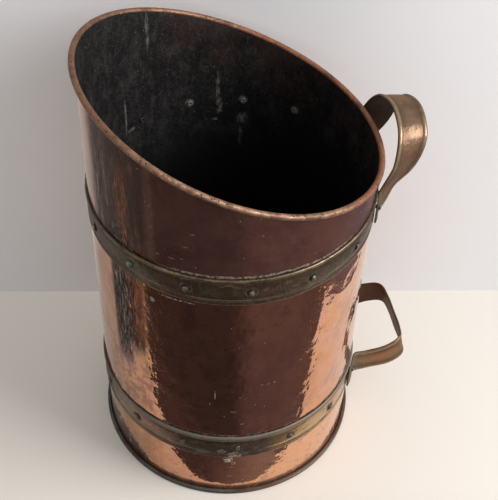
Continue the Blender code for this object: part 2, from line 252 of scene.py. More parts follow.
STRAPS = {
    "upper": StrapShape(0.0310, 28.5, 0.0380, 0.0718, 0.8406, UPPER_PATH, 5),
    "lower": StrapShape(0.0330, 30.5, 0.0650, 0.0080, 0.9146, LOWER_PATH, 6),
}
STRAP_LOOKS = {
    "upper": StrapLook("upper_strap", 0.25, 0.0, 1.0),
    "lower": StrapLook("lower_strap", 0.80, 0.165, 40.0),
}
BAND_LOOKS = {
    "upper": BandLook(0.82, 0.82, -160.0, 0.0),
    "lower": BandLook(0.15, 0.80, 175.0, 0.9),
}


def linear(hex_colour):
    """An sRGB hex colour such as B87355 as the linear RGBA that Blender mixes in."""
    shown = [int(hex_colour[i : i + 2], 16) / 255 for i in (0, 2, 4)]
    mixed = [c / 12.92 if c <= 0.04045 else ((c + 0.055) / 1.055) ** 2.4 for c in shown]
    return (*mixed, 1.0)


def length(name, description, default):
    return bpy.props.FloatProperty(
        name=name, description=description, default=default, unit="LENGTH", precision=5
    )


def turn(name, description, degrees):
    return bpy.props.FloatProperty(
        name=name, description=description, default=math.radians(degrees), subtype="ANGLE"
    )


def colour(name, description, hex_colour):
    return bpy.props.FloatVectorProperty(
        name=name,
        description=description,
        default=linear(hex_colour),
        size=4,
        min=0.0,
        max=1.0,
        subtype="COLOR",
    )


class ScuttleSizes(bpy.types.PropertyGroup):
    """Sizes of the pieces. Those that the solids share are the solids' own."""

    wall_radius: length("Wall radius", "Outside of the copper wall", WALL_RADIUS)
    sheet: length("Sheet", "Thickness of the copper sheet", 0.0012)
    mouth_low: length("Mouth low", "Height of the rim's middle at the handles", 0.3836)
    mouth_lip: length("Mouth lip", "Height of the rim's middle at the pouring lip", 0.492)
    mouth_sag: length("Mouth sag", "How far the rim hangs at its sides", 0.005)
    mouth_turn: turn("Mouth turn", "Turn of the mouth from the handles", -2.5)
    upper_turn: turn("Upper turn", "Turn of the upper band and its handle", 3.1)
    curl_inside: length("Curl inside", "Radius inside the rolled rim", 0.00175)
    mark_size: length("Mark size", "Width of one hammer mark", 0.0105)
    mark_depth: length("Mark depth", "Depth of one hammer mark", 0.00042)
    dent_size: length("Dent size", "Width of the wall's slow waves", 0.050)
    dent_depth: length("Dent depth", "Depth of the wall's slow waves", 0.0012)
    foot_underside: length("Foot underside", "Height of the foot flange", 0.0018)
    flange_reach: length("Flange reach", "Width of the foot flange", 0.0026)
    flange_bend: length("Flange bend", "Radius of the bend at the foot", 0.0010)
    base_sheet: length("Base sheet", "Thickness of the base plate", 0.0015)
    band_seat: length("Band seat", "Space between the wall and a band", 0.0004)
    band_sheet: length("Band sheet", "Thickness of a brass band", 0.0012)
    band_bead: length("Band bead", "How far a band's bead stands out", 0.0009)
    clearance: length("Clearance", "Space between pieces that adjoin", 0.0003)
    head_radius: length("Head radius", "Radius of a rivet's head", 0.0037)
    head_rise: length("Head rise", "Height of a rivet's head over its edge", 0.0022)
    tail_radius: length("Tail radius", "Radius of a rivet's rolled tail", 0.0031)
    strap_sheet: length("Strap sheet", "Thickness of a handle's strap", 0.0018)
    strap_bead: length("Strap bead", "How far a strap's beads stand out", 0.0009)
    heel_angle: turn("Heel angle", "Where a handle leaves its band", 21.5)


class ScuttleColours(bpy.types.PropertyGroup):
    """Colours of the metals, of what has grown on them, and of the stage."""

    copper: colour("Copper", "Copper that is rubbed bright", "D69C81")
    copper_gold: colour("Copper gold", "Golden tint on the bright copper", "D89A6A")
    # Over the smooth part above the upper band this film is also painted reflection of the dark
    # room.
    film: colour("Film", "Brown film on the copper", "8A615C")
    # Painted reflection: a lighter copper low on the right, for the brightly lit table mirrored
    # there.
    copper_lit_reflection: colour("Copper clean", "Copper low on the right, with no film", "E6B08A")
    blotch: colour("Blotch", "Reddish brown blotches on the bright copper", "8E5C48")
    crust: colour("Crust", "Dark brown corrosion under the streaks", "34241E")
    umber: colour("Umber", "Thick brown corrosion", "5E3622")
    scratch: colour("Scratch", "Pale line where the film is scratched", "C99C86")
    # Dark purple brown, laid on a large patch low on the left and along the foot.
    dark_purple_brown: colour("Tarnish", "Purple brown tarnish", "321E1E")
    streak: colour("Streak", "Dark corrosion on the copper", "2C2626")
    slate: colour("Slate", "Blue grey bloom in the dark corrosion", "76878C")
    rust: colour("Rust", "Orange brown runs on the copper", "9C5634")
    stain: colour("Stain", "Brown dirt on copper", "46302A")
    grime: colour("Grime", "Dirt in grooves and along edges", "2B2420")
    soot: colour("Soot", "Inside of the wall", "121010")
    ash: colour("Ash", "Pale dust on the soot", "84817E")
    foot: colour("Foot", "Dirty copper edge of the base", "3C342F")
    rim: colour("Rim", "Worn copper of the rolled rim", "86604C")
    rim_worn: colour("Rim worn", "Rubbed places on the rim", "C6A184")
    brass: colour("Brass", "Aged brass of the bands", "8E7858")
    brass_film: colour("Brass film", "Brown film on the brass", "55463A")
    brass_gold: colour("Brass gold", "Clean golden brass", "C29A68")
    brass_worn: colour("Brass worn", "Rubbed crests of the brass", "BFA684")
    upper_strap: colour("Upper strap", "Brass of the upper handle", "7E6250")
    lower_strap: colour("Lower strap", "Brass of the lower handle", "6E553C")
    # Painted shade: near black on the handles' inner faces, standing in for the shade on them.
    strap_inside: colour("Strap inside", "Unrubbed inner face of a handle", "261E1A")
    # On the domes' tops this pink is partly a painted highlight.
    rivet: colour("Rivet", "Copper of the rivets", "C4A694")
    tail: colour("Tail", "Dusty rolled ends of the rivets", "6E6660")
    verdigris: colour("Verdigris", "Green copper salts", "6F8E80")
    foot_green: colour("Foot green", "Dull green dirt on the feet of the handles", "4E5648")
    lime: colour("Lime", "Pale dried deposits", "B9B7A6")
    steel: colour("Steel", "Wire inside the rim", "6E6C69")
    floor: colour("Floor", "Table top", "E8E2DA")
    wall: colour("Wall", "Backdrop", "E6E6E9")


def plug(tree, node, inputs):
    """Links or sets a node's inputs by name or number."""
    for key, value in dict(inputs).items():
        if isinstance(value, bpy.types.NodeSocket):
            tree.links.new(value, node.inputs[key])
        else:
            node.inputs[key].default_value = value


def add_node(tree, kind, inputs=(), **settings):
    """Adds a node with its settings, links or sets its inputs, and gives its outputs."""
    made = tree.nodes.new(kind)
    for key, value in settings.items():
        setattr(made, key, value)
    plug(tree, made, inputs)
    return made.outputs


def product(tree, *values):
    """Values and numbers multiplied together."""
    result = values[0]
    for value in values[1:]:
        pair = {0: result, 1: value}
        result = add_node(tree, "ShaderNodeMath", pair, operation="MULTIPLY")[0]
    return result


def new_material(name):
    material = bpy.data.materials.new(name)
    material.use_nodes = True
    return material


class Surface:
    """A material in the making, with its colours.

    Its patterns read Object coordinates, in metres. Each gives a share from 0 to 1, of how much
    of something there is at a place.
    """

    def __init__(self, name, colours):
        self.colours = colours
        self.material = new_material(name)
        self.tree = self.material.node_tree
        self.shader = self.tree.nodes["Principled BSDF"]
        self.place = add_node(self.tree, "ShaderNodeTexCoord")["Object"]

    def patches(self, across, along, start, end, detail=4.0, seed=0.0, wander=0.0, place=None):
        """Clouds about so wide and so tall, from none at the noise level start to full at end.

        Some wander makes long ones crooked. They can read another place than the surface's own.
        """
        mapped = {
            "Vector": self.place if place is None else place,
            "Location": (seed, -seed, seed),
            "Scale": (1 / across, 1 / across, 1 / along),
        }
        noise = {
            "Vector": add_node(self.tree, "ShaderNodeMapping", mapped)[0],
            "Scale": 1.0,
            "Detail": detail,
            "Roughness": 0.6,
            "Distortion": wander,
        }
        noise = add_node(self.tree, "ShaderNodeTexNoise", noise)[0]
        ramp = {"Value": noise, "From Min": start, "From Max": end}
        return add_node(self.tree, "ShaderNodeMapRange", ramp, interpolation_type=SMOOTH)[0]

    def specks(self, spacing, radius, stretch=1.0, seed=0.0):
        """Small spots, one in each cell of about the spacing, that are that big."""
        mapped = {
            "Vector": self.place,
            "Location": (seed, seed, -seed),
            "Scale": (1 / spacing, 1 / spacing, 1 / (spacing * stretch)),
        }
        mapped = add_node(self.tree, "ShaderNodeMapping", mapped)[0]
        cells = {"Vector": mapped, "Scale": 1.0, "Randomness": 1.0}
        away = add_node(self.tree, "ShaderNodeTexVoronoi", cells)["Distance"]
        edge = radius / spacing
        ramp = {"Value": away, "From Min": edge, "From Max": edge * SPECK_CORE}
        return add_node(self.tree, "ShaderNodeMapRange", ramp, interpolation_type=SMOOTH)[0]

    def spot(self, azimuth, height, width, tall, radius=WALL_RADIUS, torn=1.1, soft=0.5):
        """One blot on the wall, so wide and so tall, at an azimuth in degrees and a height.

        Its edge is torn and soft by shares of its half width.
        """
        angle = math.radians(azimuth)
        away = {0: self.place, 1: (radius * math.cos(angle), radius * math.sin(angle), height)}
        away = add_node(self.tree, "ShaderNodeVectorMath", away, operation="SUBTRACT")[0]
        shares = {0: away, 1: (2 / width, 2 / width, 2 / tall)}
        shares = add_node(self.tree, "ShaderNodeVectorMath", shares, operation="MULTIPLY")[0]
        far = add_node(self.tree, "ShaderNodeVectorMath", {0: shares}, operation="LENGTH")
        ragged = {"Vector": self.place, "Scale": RAGGED_SCALE, "Detail": 2.0}
        ragged = add_node(self.tree, "ShaderNodeTexNoise", ragged)[0]
        outward = {0: ragged, 1: torn, 2: far["Value"]}
        outward = add_node(self.tree, "ShaderNodeMath", outward, operation="MULTIPLY_ADD")[0]
        edge = SPOT_EDGE + torn / 2
        ramp = {"Value": outward, "From Min": edge + soft / 2, "From Max": edge - soft / 2}
        return add_node(self.tree, "ShaderNodeMapRange", ramp, interpolation_type=SMOOTH)[0]

    def facing(self, azimuth, near, far):
        """Full within near degrees of an azimuth round the wall, and gone by far degrees."""
        angle = math.radians(azimuth)
        flat = {0: self.place, 1: (1, 1, 0)}
        flat = add_node(self.tree, "ShaderNodeVectorMath", flat, operation="MULTIPLY")[0]
        unit = add_node(self.tree, "ShaderNodeVectorMath", {0: flat}, operation="NORMALIZE")[0]
        near_to = {0: unit, 1: (math.cos(angle), math.sin(angle), 0)}
        near_to = add_node(self.tree, "ShaderNodeVectorMath", near_to, operation="DOT_PRODUCT")
        ramp = {
            "Value": near_to["Value"],
            "From Min": math.cos(math.radians(far)),
            "From Max": math.cos(math.radians(near)),
        }
        return add_node(self.tree, "ShaderNodeMapRange", ramp, interpolation_type=SMOOTH)[0]

    def belt(self, low, high, soft):
        """Full from height low to high, fading out over the soft distance outside them."""
        height = add_node(self.tree, "ShaderNodeSeparateXYZ", {0: self.place})[2]
        ends = []
        for none, full in ((low - soft, low), (high + soft, high)):
            ramp = {"Value": height, "From Min": none, "From Max": full}
            ends.append(add_node(self.tree, "ShaderNodeMapRange", ramp, interpolation_type=SMOOTH))
        return self.all_of(*(end[0] for end in ends))

    def area(self, azimuth, near, far, low, high, soft):
        """Round the wall as facing says, and up it as belt says."""
        return self.all_of(self.facing(azimuth, near, far), self.belt(low, high, soft))

    def all_of(self, *masks):
        """The product of masks and numbers."""
        return product(self.tree, *masks)

    def any_of(self, *masks):
        """The strongest of masks."""
        result = masks[0]
        for mask in masks[1:]:
            pair = {0: result, 1: mask}
            result = add_node(self.tree, "ShaderNodeMath", pair, operation="MAXIMUM")[0]
        return result

    def coats(self, base, *coats):
        """Colours laid over a base colour, each by its mask, its strength and its name."""
        result = tuple(getattr(self.colours, base))
        for mask, strength, name in coats:
            share = mask if strength == 1 else self.all_of(mask, strength)
            mix = {0: share, 6: result, 7: tuple(getattr(self.colours, name))}
            result = add_node(self.tree, "ShaderNodeMix", mix, data_type="RGBA")[2]
        return result

    def levels(self, base, *coats):
        """Numbers such as roughness laid over a base number, each where its mask is."""
        result = base
        for mask, over in coats:
            mix = {0: mask, 2: result, 3: over}
            result = add_node(self.tree, "ShaderNodeMix", mix)[0]
        return result

    def kept(self, *names):
        """Shares that the mesh keeps at its points, such as how far a point is up a bead."""
        kind = "ShaderNodeAttribute"
        return [add_node(self.tree, kind, attribute_name=name)["Fac"] for name in names]

    def scratches(self, seed):
        """Fine scratches in three directions, each some centimetres long and under 1 mm wide."""
        lines = []
        for tilt in (8, 64, -52):
            parts = add_node(self.tree, "ShaderNodeSeparateXYZ", {0: self.place})
            across = {0: parts[1], 1: parts[0]}
            across = add_node(self.tree, "ShaderNodeMath", across, operation="ARCTAN2")[0]
            flat = {0: self.all_of(across, WALL_RADIUS), 2: parts[2]}
            flat = add_node(self.tree, "ShaderNodeCombineXYZ", flat)[0]
            tilted = {"Vector": flat, "Rotation": (0, math.radians(tilt), 0)}
            tilted = add_node(self.tree, "ShaderNodeMapping", tilted)[0]
            lines.append(self.patches(0.0007, 0.014, 0.62, 0.68, 1.0, seed + tilt, 0.3, tilted))
        return self.any_of(*lines)

    def rivet_rings(self, turned_by, height, near, far):
        """Discs round the rivets of a band, full near each rivet's middle and gone far from it."""
        parts = add_node(self.tree, "ShaderNodeSeparateXYZ", {0: self.place})
        angle = {0: parts[1], 1: parts[0]}
        angle = add_node(self.tree, "ShaderNodeMath", angle, operation="ARCTAN2")[0]
        angle = {0: angle, 1: -turned_by}
        angle = add_node(self.tree, "ShaderNodeMath", angle, operation="ADD")[0]
        fold = {0: angle, 1: math.pi / RIVETS}
        fold = add_node(self.tree, "ShaderNodeMath", fold, operation="PINGPONG")[0]
        up = {0: parts[2], 1: -height}
        up = add_node(self.tree, "ShaderNodeMath", up, operation="ADD")[0]
        flat = {0: self.all_of(fold, BAND_RADIUS), 1: up}
        flat = add_node(self.tree, "ShaderNodeCombineXYZ", flat)[0]
        away = add_node(self.tree, "ShaderNodeVectorMath", {0: flat}, operation="LENGTH")
        ramp = {"Value": away["Value"], "From Min": far, "From Max": near}
        return add_node(self.tree, "ShaderNodeMapRange", ramp, interpolation_type=SMOOTH)[0]

    def finish(self, sockets, height=None, depth=0.0):
        """Links or sets the shader's sockets. A height share is so many metres of relief."""
        plug(self.tree, self.shader, sockets)
        if height is not None:
            lift = {"Height": height, "Strength": 1.0, "Distance": depth}
            lift = add_node(self.tree, "ShaderNodeBump", lift)[0]
            plug(self.tree, self.shader, {"Normal": lift})
        return self.material


def wall_film_and_dark_reflection(metal, over):
    """Brown film, in clouds on the hammered part and nearly closed on the smooth part. On the
    smooth part it also stands in for the dark room mirrored there: painted reflection.
    """
    clouds = metal.patches(0.030, 0.050, 0.46, 0.66, 5.0, 1.7)
    small_clouds = metal.all_of(
        metal.patches(0.0080, 0.0095, 0.48, 0.66, 6.0, 5.2),
        metal.patches(0.040, 0.050, 0.40, 0.62, 2.0, 25.0),
    )
    over_clouds = metal.patches(0.026, 0.034, 0.34, 0.66, 6.0, 14.5)
    right = metal.facing(-45.0, 30.0, 60.0)
    return metal.any_of(
        # Nearly closed over the smooth part: brown film, and painted reflection of the dark room.
        metal.all_of(over, metal.levels(0.74, (over_clouds, 1.0))),
        metal.all_of(clouds, metal.levels(0.50, (right, 0.30))),
        metal.all_of(small_clouds, metal.levels(0.50, (right, 0.42))),
    )


def wall_blotches(metal, low):
    """Reddish blotches on the bright copper at the left."""
    return metal.all_of(
        metal.any_of(
            metal.area(-148.0, 12.0, 16.5, 0.107, 0.180, 0.03),
            metal.all_of(metal.facing(-138.0, 16.0, 24.0), low, 0.25),
        ),
        metal.patches(0.0095, 0.0120, 0.44, 0.58, 5.0, 51.0),
    )


def wall_streaks(metal):
    """What rain or steam left down one side, over and under the upper band.

    A dark veil with black lines and a blue grey bloom in it, orange runs and a brown crust.
    """
    under = metal.any_of(
        metal.area(-144.6, 6.6, 9.4, 0.228, 0.350, 0.045),
        metal.area(-149.0, 3.5, 6.5, 0.205, 0.350, 0.045),
    )
    over = metal.area(-147.0, 12.0, 19.0, 0.350, 0.50, 0.03)
    veil = metal.any_of(
        metal.all_of(over, metal.patches(0.006, 0.060, 0.22, 0.46, 5.0, 3.1)),
        metal.all_of(under, metal.patches(0.005, 0.030, 0.26, 0.46, 5.0, 3.1)),
    )
    eaten = metal.any_of(
        metal.all_of(under, metal.facing(-147.0, 4.6, 8.0)),
        metal.all_of(over, 0.4),
    )
    lines = metal.all_of(eaten, metal.patches(0.0020, 0.014, 0.47, 0.51, 4.0, 8.3, 0.9))
    bloom = metal.all_of(
        under,
        metal.facing(-146.0, 4.0, 7.0),
        metal.patches(0.0018, 0.008, 0.60, 0.65, 3.0, 6.4, 0.6),
    )
    umber = metal.all_of(
        metal.area(-139.8, 1.8, 5.6, 0.222, 0.345, 0.020),
        metal.patches(0.0040, 0.0110, 0.40, 0.46, 4.0, 61.0),
    )
    orange = metal.all_of(
        metal.any_of(
            metal.area(-138.0, 3.2, 5.4, 0.25, 0.345, 0.03),
            metal.all_of(metal.area(-144.2, 1.8, 4.2, 0.35, 0.42, 0.04), 0.8),
        ),
        metal.patches(0.0024, 0.014, 0.47, 0.57, 5.0, 11.0, 1.2),
    )
    return veil, eaten, lines, bloom, umber, orange


def wall_salts(metal, edges):
    """Green salts along the bands' edges, and pale lime in lines, crusts, drips and flecks."""
    low_crust = metal.all_of(
        metal.any_of(*(metal.spot(*crust) for crust in LOW_CRUSTS)),
        metal.patches(0.0026, 0.0026, 0.42, 0.54, 3.0, 2.4),
    )
    green = metal.any_of(
        metal.all_of(edges, metal.patches(0.008, 0.004, 0.62, 0.69, 3.0, 9.1)),
        metal.spot(-131.6, 0.3010, 0.0055, 0.0065),
        metal.all_of(low_crust, 0.5),
    )
    band_lines = metal.all_of(
        metal.any_of(
            metal.area(-88.0, 28.0, 42.0, 0.3522, 0.3544, 0.0008),
            metal.area(-121.0, 5.0, 8.0, 0.3128, 0.3140, 0.0007),
        ),
        metal.patches(0.0030, 0.0022, 0.44, 0.54, 4.0, 4.4),
        0.6,
    )
    flecks = [metal.spot(*fleck, FLECK_TALL, WALL_RADIUS, 0.9) for fleck in FLECKS]
    lime = metal.any_of(
        band_lines,
        low_crust,
        metal.all_of(metal.spot(-105.9, 0.1780, 0.0010, 0.018), 0.7),
        metal.all_of(metal.spot(-108.0, 0.1640, 0.0010, 0.006), 0.5),
        metal.all_of(metal.any_of(*flecks), 0.32),
        metal.all_of(metal.specks(0.016, 0.0008, 1.0, 7.7), 0.6),
    )
    return green, lime


def wall_dark_purple_brown(metal):
    """Dark purple brown: one large patch low on the left, and all along the foot."""
    broken = metal.patches(0.014, 0.018, 0.52, 0.64, 5.0, 41.0)
    return metal.any_of(
        metal.all_of(
            metal.spot(180.0, 0.0, 0.248, 0.1300, WALL_RADIUS, 0.30, 0.05),
            metal.levels(1.0, (broken, 0.4)),
            0.94,
        ),
        metal.all_of(
            metal.belt(0.0, 0.007, 0.009), metal.patches(0.010, 0.010, 0.36, 0.52, 5.0), 0.85
        ),
    )


def wall_specks(metal, low, lighter_right):
    """Dark specks: fine and coarse ones in swarms, more at the bottom, and brown dirt there."""
    return metal.any_of(
        metal.all_of(
            metal.specks(0.009, 0.0010, 1.3, 2.9),
            metal.patches(0.030, 0.030, 0.46, 0.60, 2.0, 27.0),
        ),
        metal.all_of(
            metal.specks(0.022, 0.0020, 1.3, 5.9),
            metal.patches(0.040, 0.040, 0.44, 0.58, 2.0, 29.0),
        ),
        metal.all_of(low, metal.specks(0.0085, 0.0019, 1.2, 8.9)),
        metal.all_of(lighter_right, metal.patches(0.011, 0.013, 0.55, 0.66, 5.0, 71.0), 0.5),
    )


def planished_copper(colours):
    """Copper sheet, planished by hand and rubbed bright: it mirrors the table in salmon.

    A brown film dulls the smooth part over the upper band, and there also stands in for the dark
    room that it mirrors: painted reflection. Low on the right the copper is painted lighter, a
    painted reflection of the lit table. One side has dark and orange streaks, the foot and a large
    patch low on the left are dark purple brown, and salts and grime line the bands' edges.
    """
    metal = Surface("planished_copper", colours)
    over = metal.belt(0.350, 0.6, 0.004)
    low = metal.belt(-0.01, 0.067, 0.004)
    # Low on the right the copper is painted lighter: a painted reflection of the brightly lit
    # table there.
    lighter_right = metal.all_of(low, metal.facing(-52.0, 34.0, 52.0), 0.85)
    gold = metal.all_of(
        metal.any_of(metal.patches(0.022, 0.034, 0.44, 0.62, 4.0, 31.0), low),
        metal.levels(1.0, (metal.facing(-100.0, 24.0, 34.0), 0.25)),
    )
    rubbed = metal.all_of(
        over,
        metal.any_of(
            metal.all_of(metal.spot(-88.0, 0.4120, 0.020, 0.026), 0.50),
            metal.all_of(metal.patches(0.014, 0.050, 0.50, 0.74, 5.0, 14.0), 0.28),
        ),
    )
    edges = metal.any_of(*(metal.belt(*edge) for edge in BAND_EDGES))
    grime = metal.all_of(edges, metal.patches(0.008, 0.006, 0.26, 0.50, 3.0, 2.2))
    film = wall_film_and_dark_reflection(metal, over)
    veil, eaten, lines, bloom, umber, orange = wall_streaks(metal)
    green, lime = wall_salts(metal, edges)
    dark_purple_brown = wall_dark_purple_brown(metal)
    worn = metal.scratches(3.0)
    base = metal.coats(
        "copper",
        (gold, 1, "copper_gold"),
        (film, 1, "film"),
        # Painted reflection: lighter copper low on the right.
        (lighter_right, 1, "copper_lit_reflection"),
        (wall_blotches(metal, low), 0.75, "blotch"),
        (rubbed, 1, "rim"),
        (worn, 0.45, "scratch"),
        (wall_specks(metal, low, lighter_right), 0.60, "stain"),
        (veil, 0.88, "crust"),
        (umber, 0.92, "umber"),
        (orange, 0.85, "rust"),
        (lines, 0.90, "streak"),
        (bloom, 1, "slate"),
        (dark_purple_brown, 1, "dark_purple_brown"),
        (grime, 1, "grime"),
        (green, 1, "verdigris"),
        (lime, 1, "lime"),
    )
    dull = metal.any_of(lines, bloom, grime, green, lime)
    rough = metal.levels(0.045, (film, 0.10), (over, 0.22), (worn, 0.24), (orange, 0.34))
    rough = metal.levels(rough, (veil, 0.32), (umber, 0.45), (dark_purple_brown, 0.30), (dull, 0.6))
    bare = metal.levels(1.0, (over, 0.9), (veil, 0.4), (umber, 0.3), (dull, 0.25), (dark_purple_brown, 0.25))
    crusted = metal.any_of(veil, umber, lines, dark_purple_brown)
    pebbles = metal.patches(0.0060, 0.0085, 0.2, 0.8, 1.0, 21.0)
    sockets = {
        "Base Color": base,
        "Metallic": bare,
        "Roughness": rough,
        "Specular IOR Level": metal.levels(0.5, (crusted, 0.06)),
    }
    return metal.finish(sockets, metal.levels(pebbles, (over, 0.5), (eaten, lines)), 0.00012)


def sooty_copper(colours, turned_by, height):
    """Copper sheet inside, under soot and coal dust: near black, dusty, with old dried runs."""
    metal = Surface("sooty_copper", colours)
    near_rim = {"Value": metal.kept("below_rim")[0], "From Min": 0.085, "From Max": 0.010}
    near_rim = add_node(metal.tree, "ShaderNodeMapRange", near_rim, interpolation_type=SMOOTH)
    brown = metal.all_of(
        near_rim[0],
        metal.facing(50.0, 40.0, 85.0),
        metal.patches(0.030, 0.036, 0.36, 0.62, 5.0, 3.3),
    )
    high = metal.belt(0.335, 0.60, 0.10)
    dust = metal.all_of(high, metal.patches(0.020, 0.026, 0.46, 0.74, 6.0, 5.1))
    left_dust = metal.all_of(
        metal.facing(124.0, 16.0, 44.0), high, metal.patches(0.006, 0.024, 0.46, 0.72, 6.0, 9.9)
    )
    runs = metal.all_of(
        metal.any_of(*(metal.spot(*run, INSIDE_RADIUS) for run in DRIED_RUNS)),
        metal.patches(0.0026, 0.009, 0.34, 0.62, 4.0, 12.0),
    )
    rings = metal.all_of(
        metal.rivet_rings(turned_by, height, *TAIL_RING), metal.facing(75.0, 28.0, 40.0)
    )
    base = metal.coats(
        "soot",
        (brown, 0.38, "stain"),
        (dust, 0.04, "ash"),
        (left_dust, 0.055, "ash"),
        (runs, 0.42, "ash"),
        (metal.all_of(high, metal.scratches(50.0)), 0.12, "ash"),
        (metal.all_of(high, metal.specks(0.010, 0.0009, 1.0, 1.1)), 0.45, "ash"),
        (rings, 0.42, "ash"),
    )
    sockets = {
        "Base Color": base,
        "Metallic": 0.0,
        "Roughness": metal.levels(0.55, (dust, 0.8)),
        "Specular IOR Level": 0.3,
    }
    return metal.finish(sockets, metal.patches(0.004, 0.006, 0.3, 0.7, 4.0, 15.0), 0.0003)


def rolled_rim_copper(colours):
    """Copper rolled over the wire, worn by hands and pitted: dull salmon with dark pits."""
    metal = Surface("worn_copper_rim", colours)
    right = metal.facing(15.0, 50.0, 90.0)
    front = metal.facing(-93.0, 28.0, 52.0)
    worn = metal.patches(0.007, 0.007, 0.34, 0.62, 5.0, 2.0)
    brown = metal.patches(0.030, 0.030, 0.48, 0.70, 4.0, 6.0)
    pits = metal.all_of(
        metal.specks(0.0036, 0.0010, 1.0, 4.0), metal.patches(0.022, 0.022, 0.34, 0.50, 2.0, 8.0)
    )
    base = metal.coats(
        "rim",
        (metal.all_of(worn, metal.levels(0.14, (front, 0.66))), 1, "rim_worn"),
        (right, 0.40, "rust"),
        (brown, 0.78, "stain"),
        (metal.patches(0.008, 0.008, 0.64, 0.72, 3.0, 12.0), 0.6, "verdigris"),
        (pits, 1, "grime"),
    )
    height = {0: worn, 1: pits}
    height = add_node(metal.tree, "ShaderNodeMath", height, operation="SUBTRACT")[0]
    sockets = {
        "Base Color": base,
        "Metallic": metal.levels(0.75, (right, 0.5), (pits, 0.2)),
        "Roughness": metal.levels(0.48, (right, 0.62), (brown, 0.55), (pits, 0.8)),
    }
    return metal.finish(sockets, height, 0.0003)


def foot_copper(colours):
    """Copper of the base plate, rubbed on its turned edge, cleaner at the right, sooty inside."""
    metal = Surface("dull_copper_foot", colours)
    level = {0: metal.place, 1: (1.0, 1.0, 0.0)}
    level = add_node(metal.tree, "ShaderNodeVectorMath", level, operation="MULTIPLY")[0]
    outward = add_node(metal.tree, "ShaderNodeVectorMath", {0: level}, operation="LENGTH")
    floor = {"Value": outward["Value"], "From Min": FLOOR_EDGE, "From Max": INSIDE_RADIUS}
    floor = add_node(metal.tree, "ShaderNodeMapRange", floor, interpolation_type=SMOOTH)[0]
    top = metal.belt(0.0045, 0.0060, 0.0007)
    lighter_right = metal.facing(-35.0, 45.0, 70.0)
    base = metal.coats(
        "foot",
        (metal.all_of(top, metal.patches(0.020, 0.020, 0.34, 0.60, 4.0, 5.5)), 0.55, "tail"),
        (lighter_right, 0.40, "rim"),
        (metal.patches(0.012, 0.004, 0.58, 0.70, 3.0, 7.5), 0.30, "verdigris"),
        (floor, 1, "soot"),
        (metal.all_of(floor, metal.patches(0.016, 0.016, 0.44, 0.72, 6.0, 61.0)), 0.05, "ash"),
        (metal.all_of(floor, metal.specks(0.011, 0.0011, 1.0, 1.1)), 0.10, "ash"),
    )
    return metal.finish(
        {
            "Base Color": base,
            "Metallic": metal.levels(0.35, (lighter_right, 0.55), (floor, 0.0)),
            "Roughness": metal.levels(0.50, (lighter_right, 0.35), (floor, 0.75)),
        }
    )


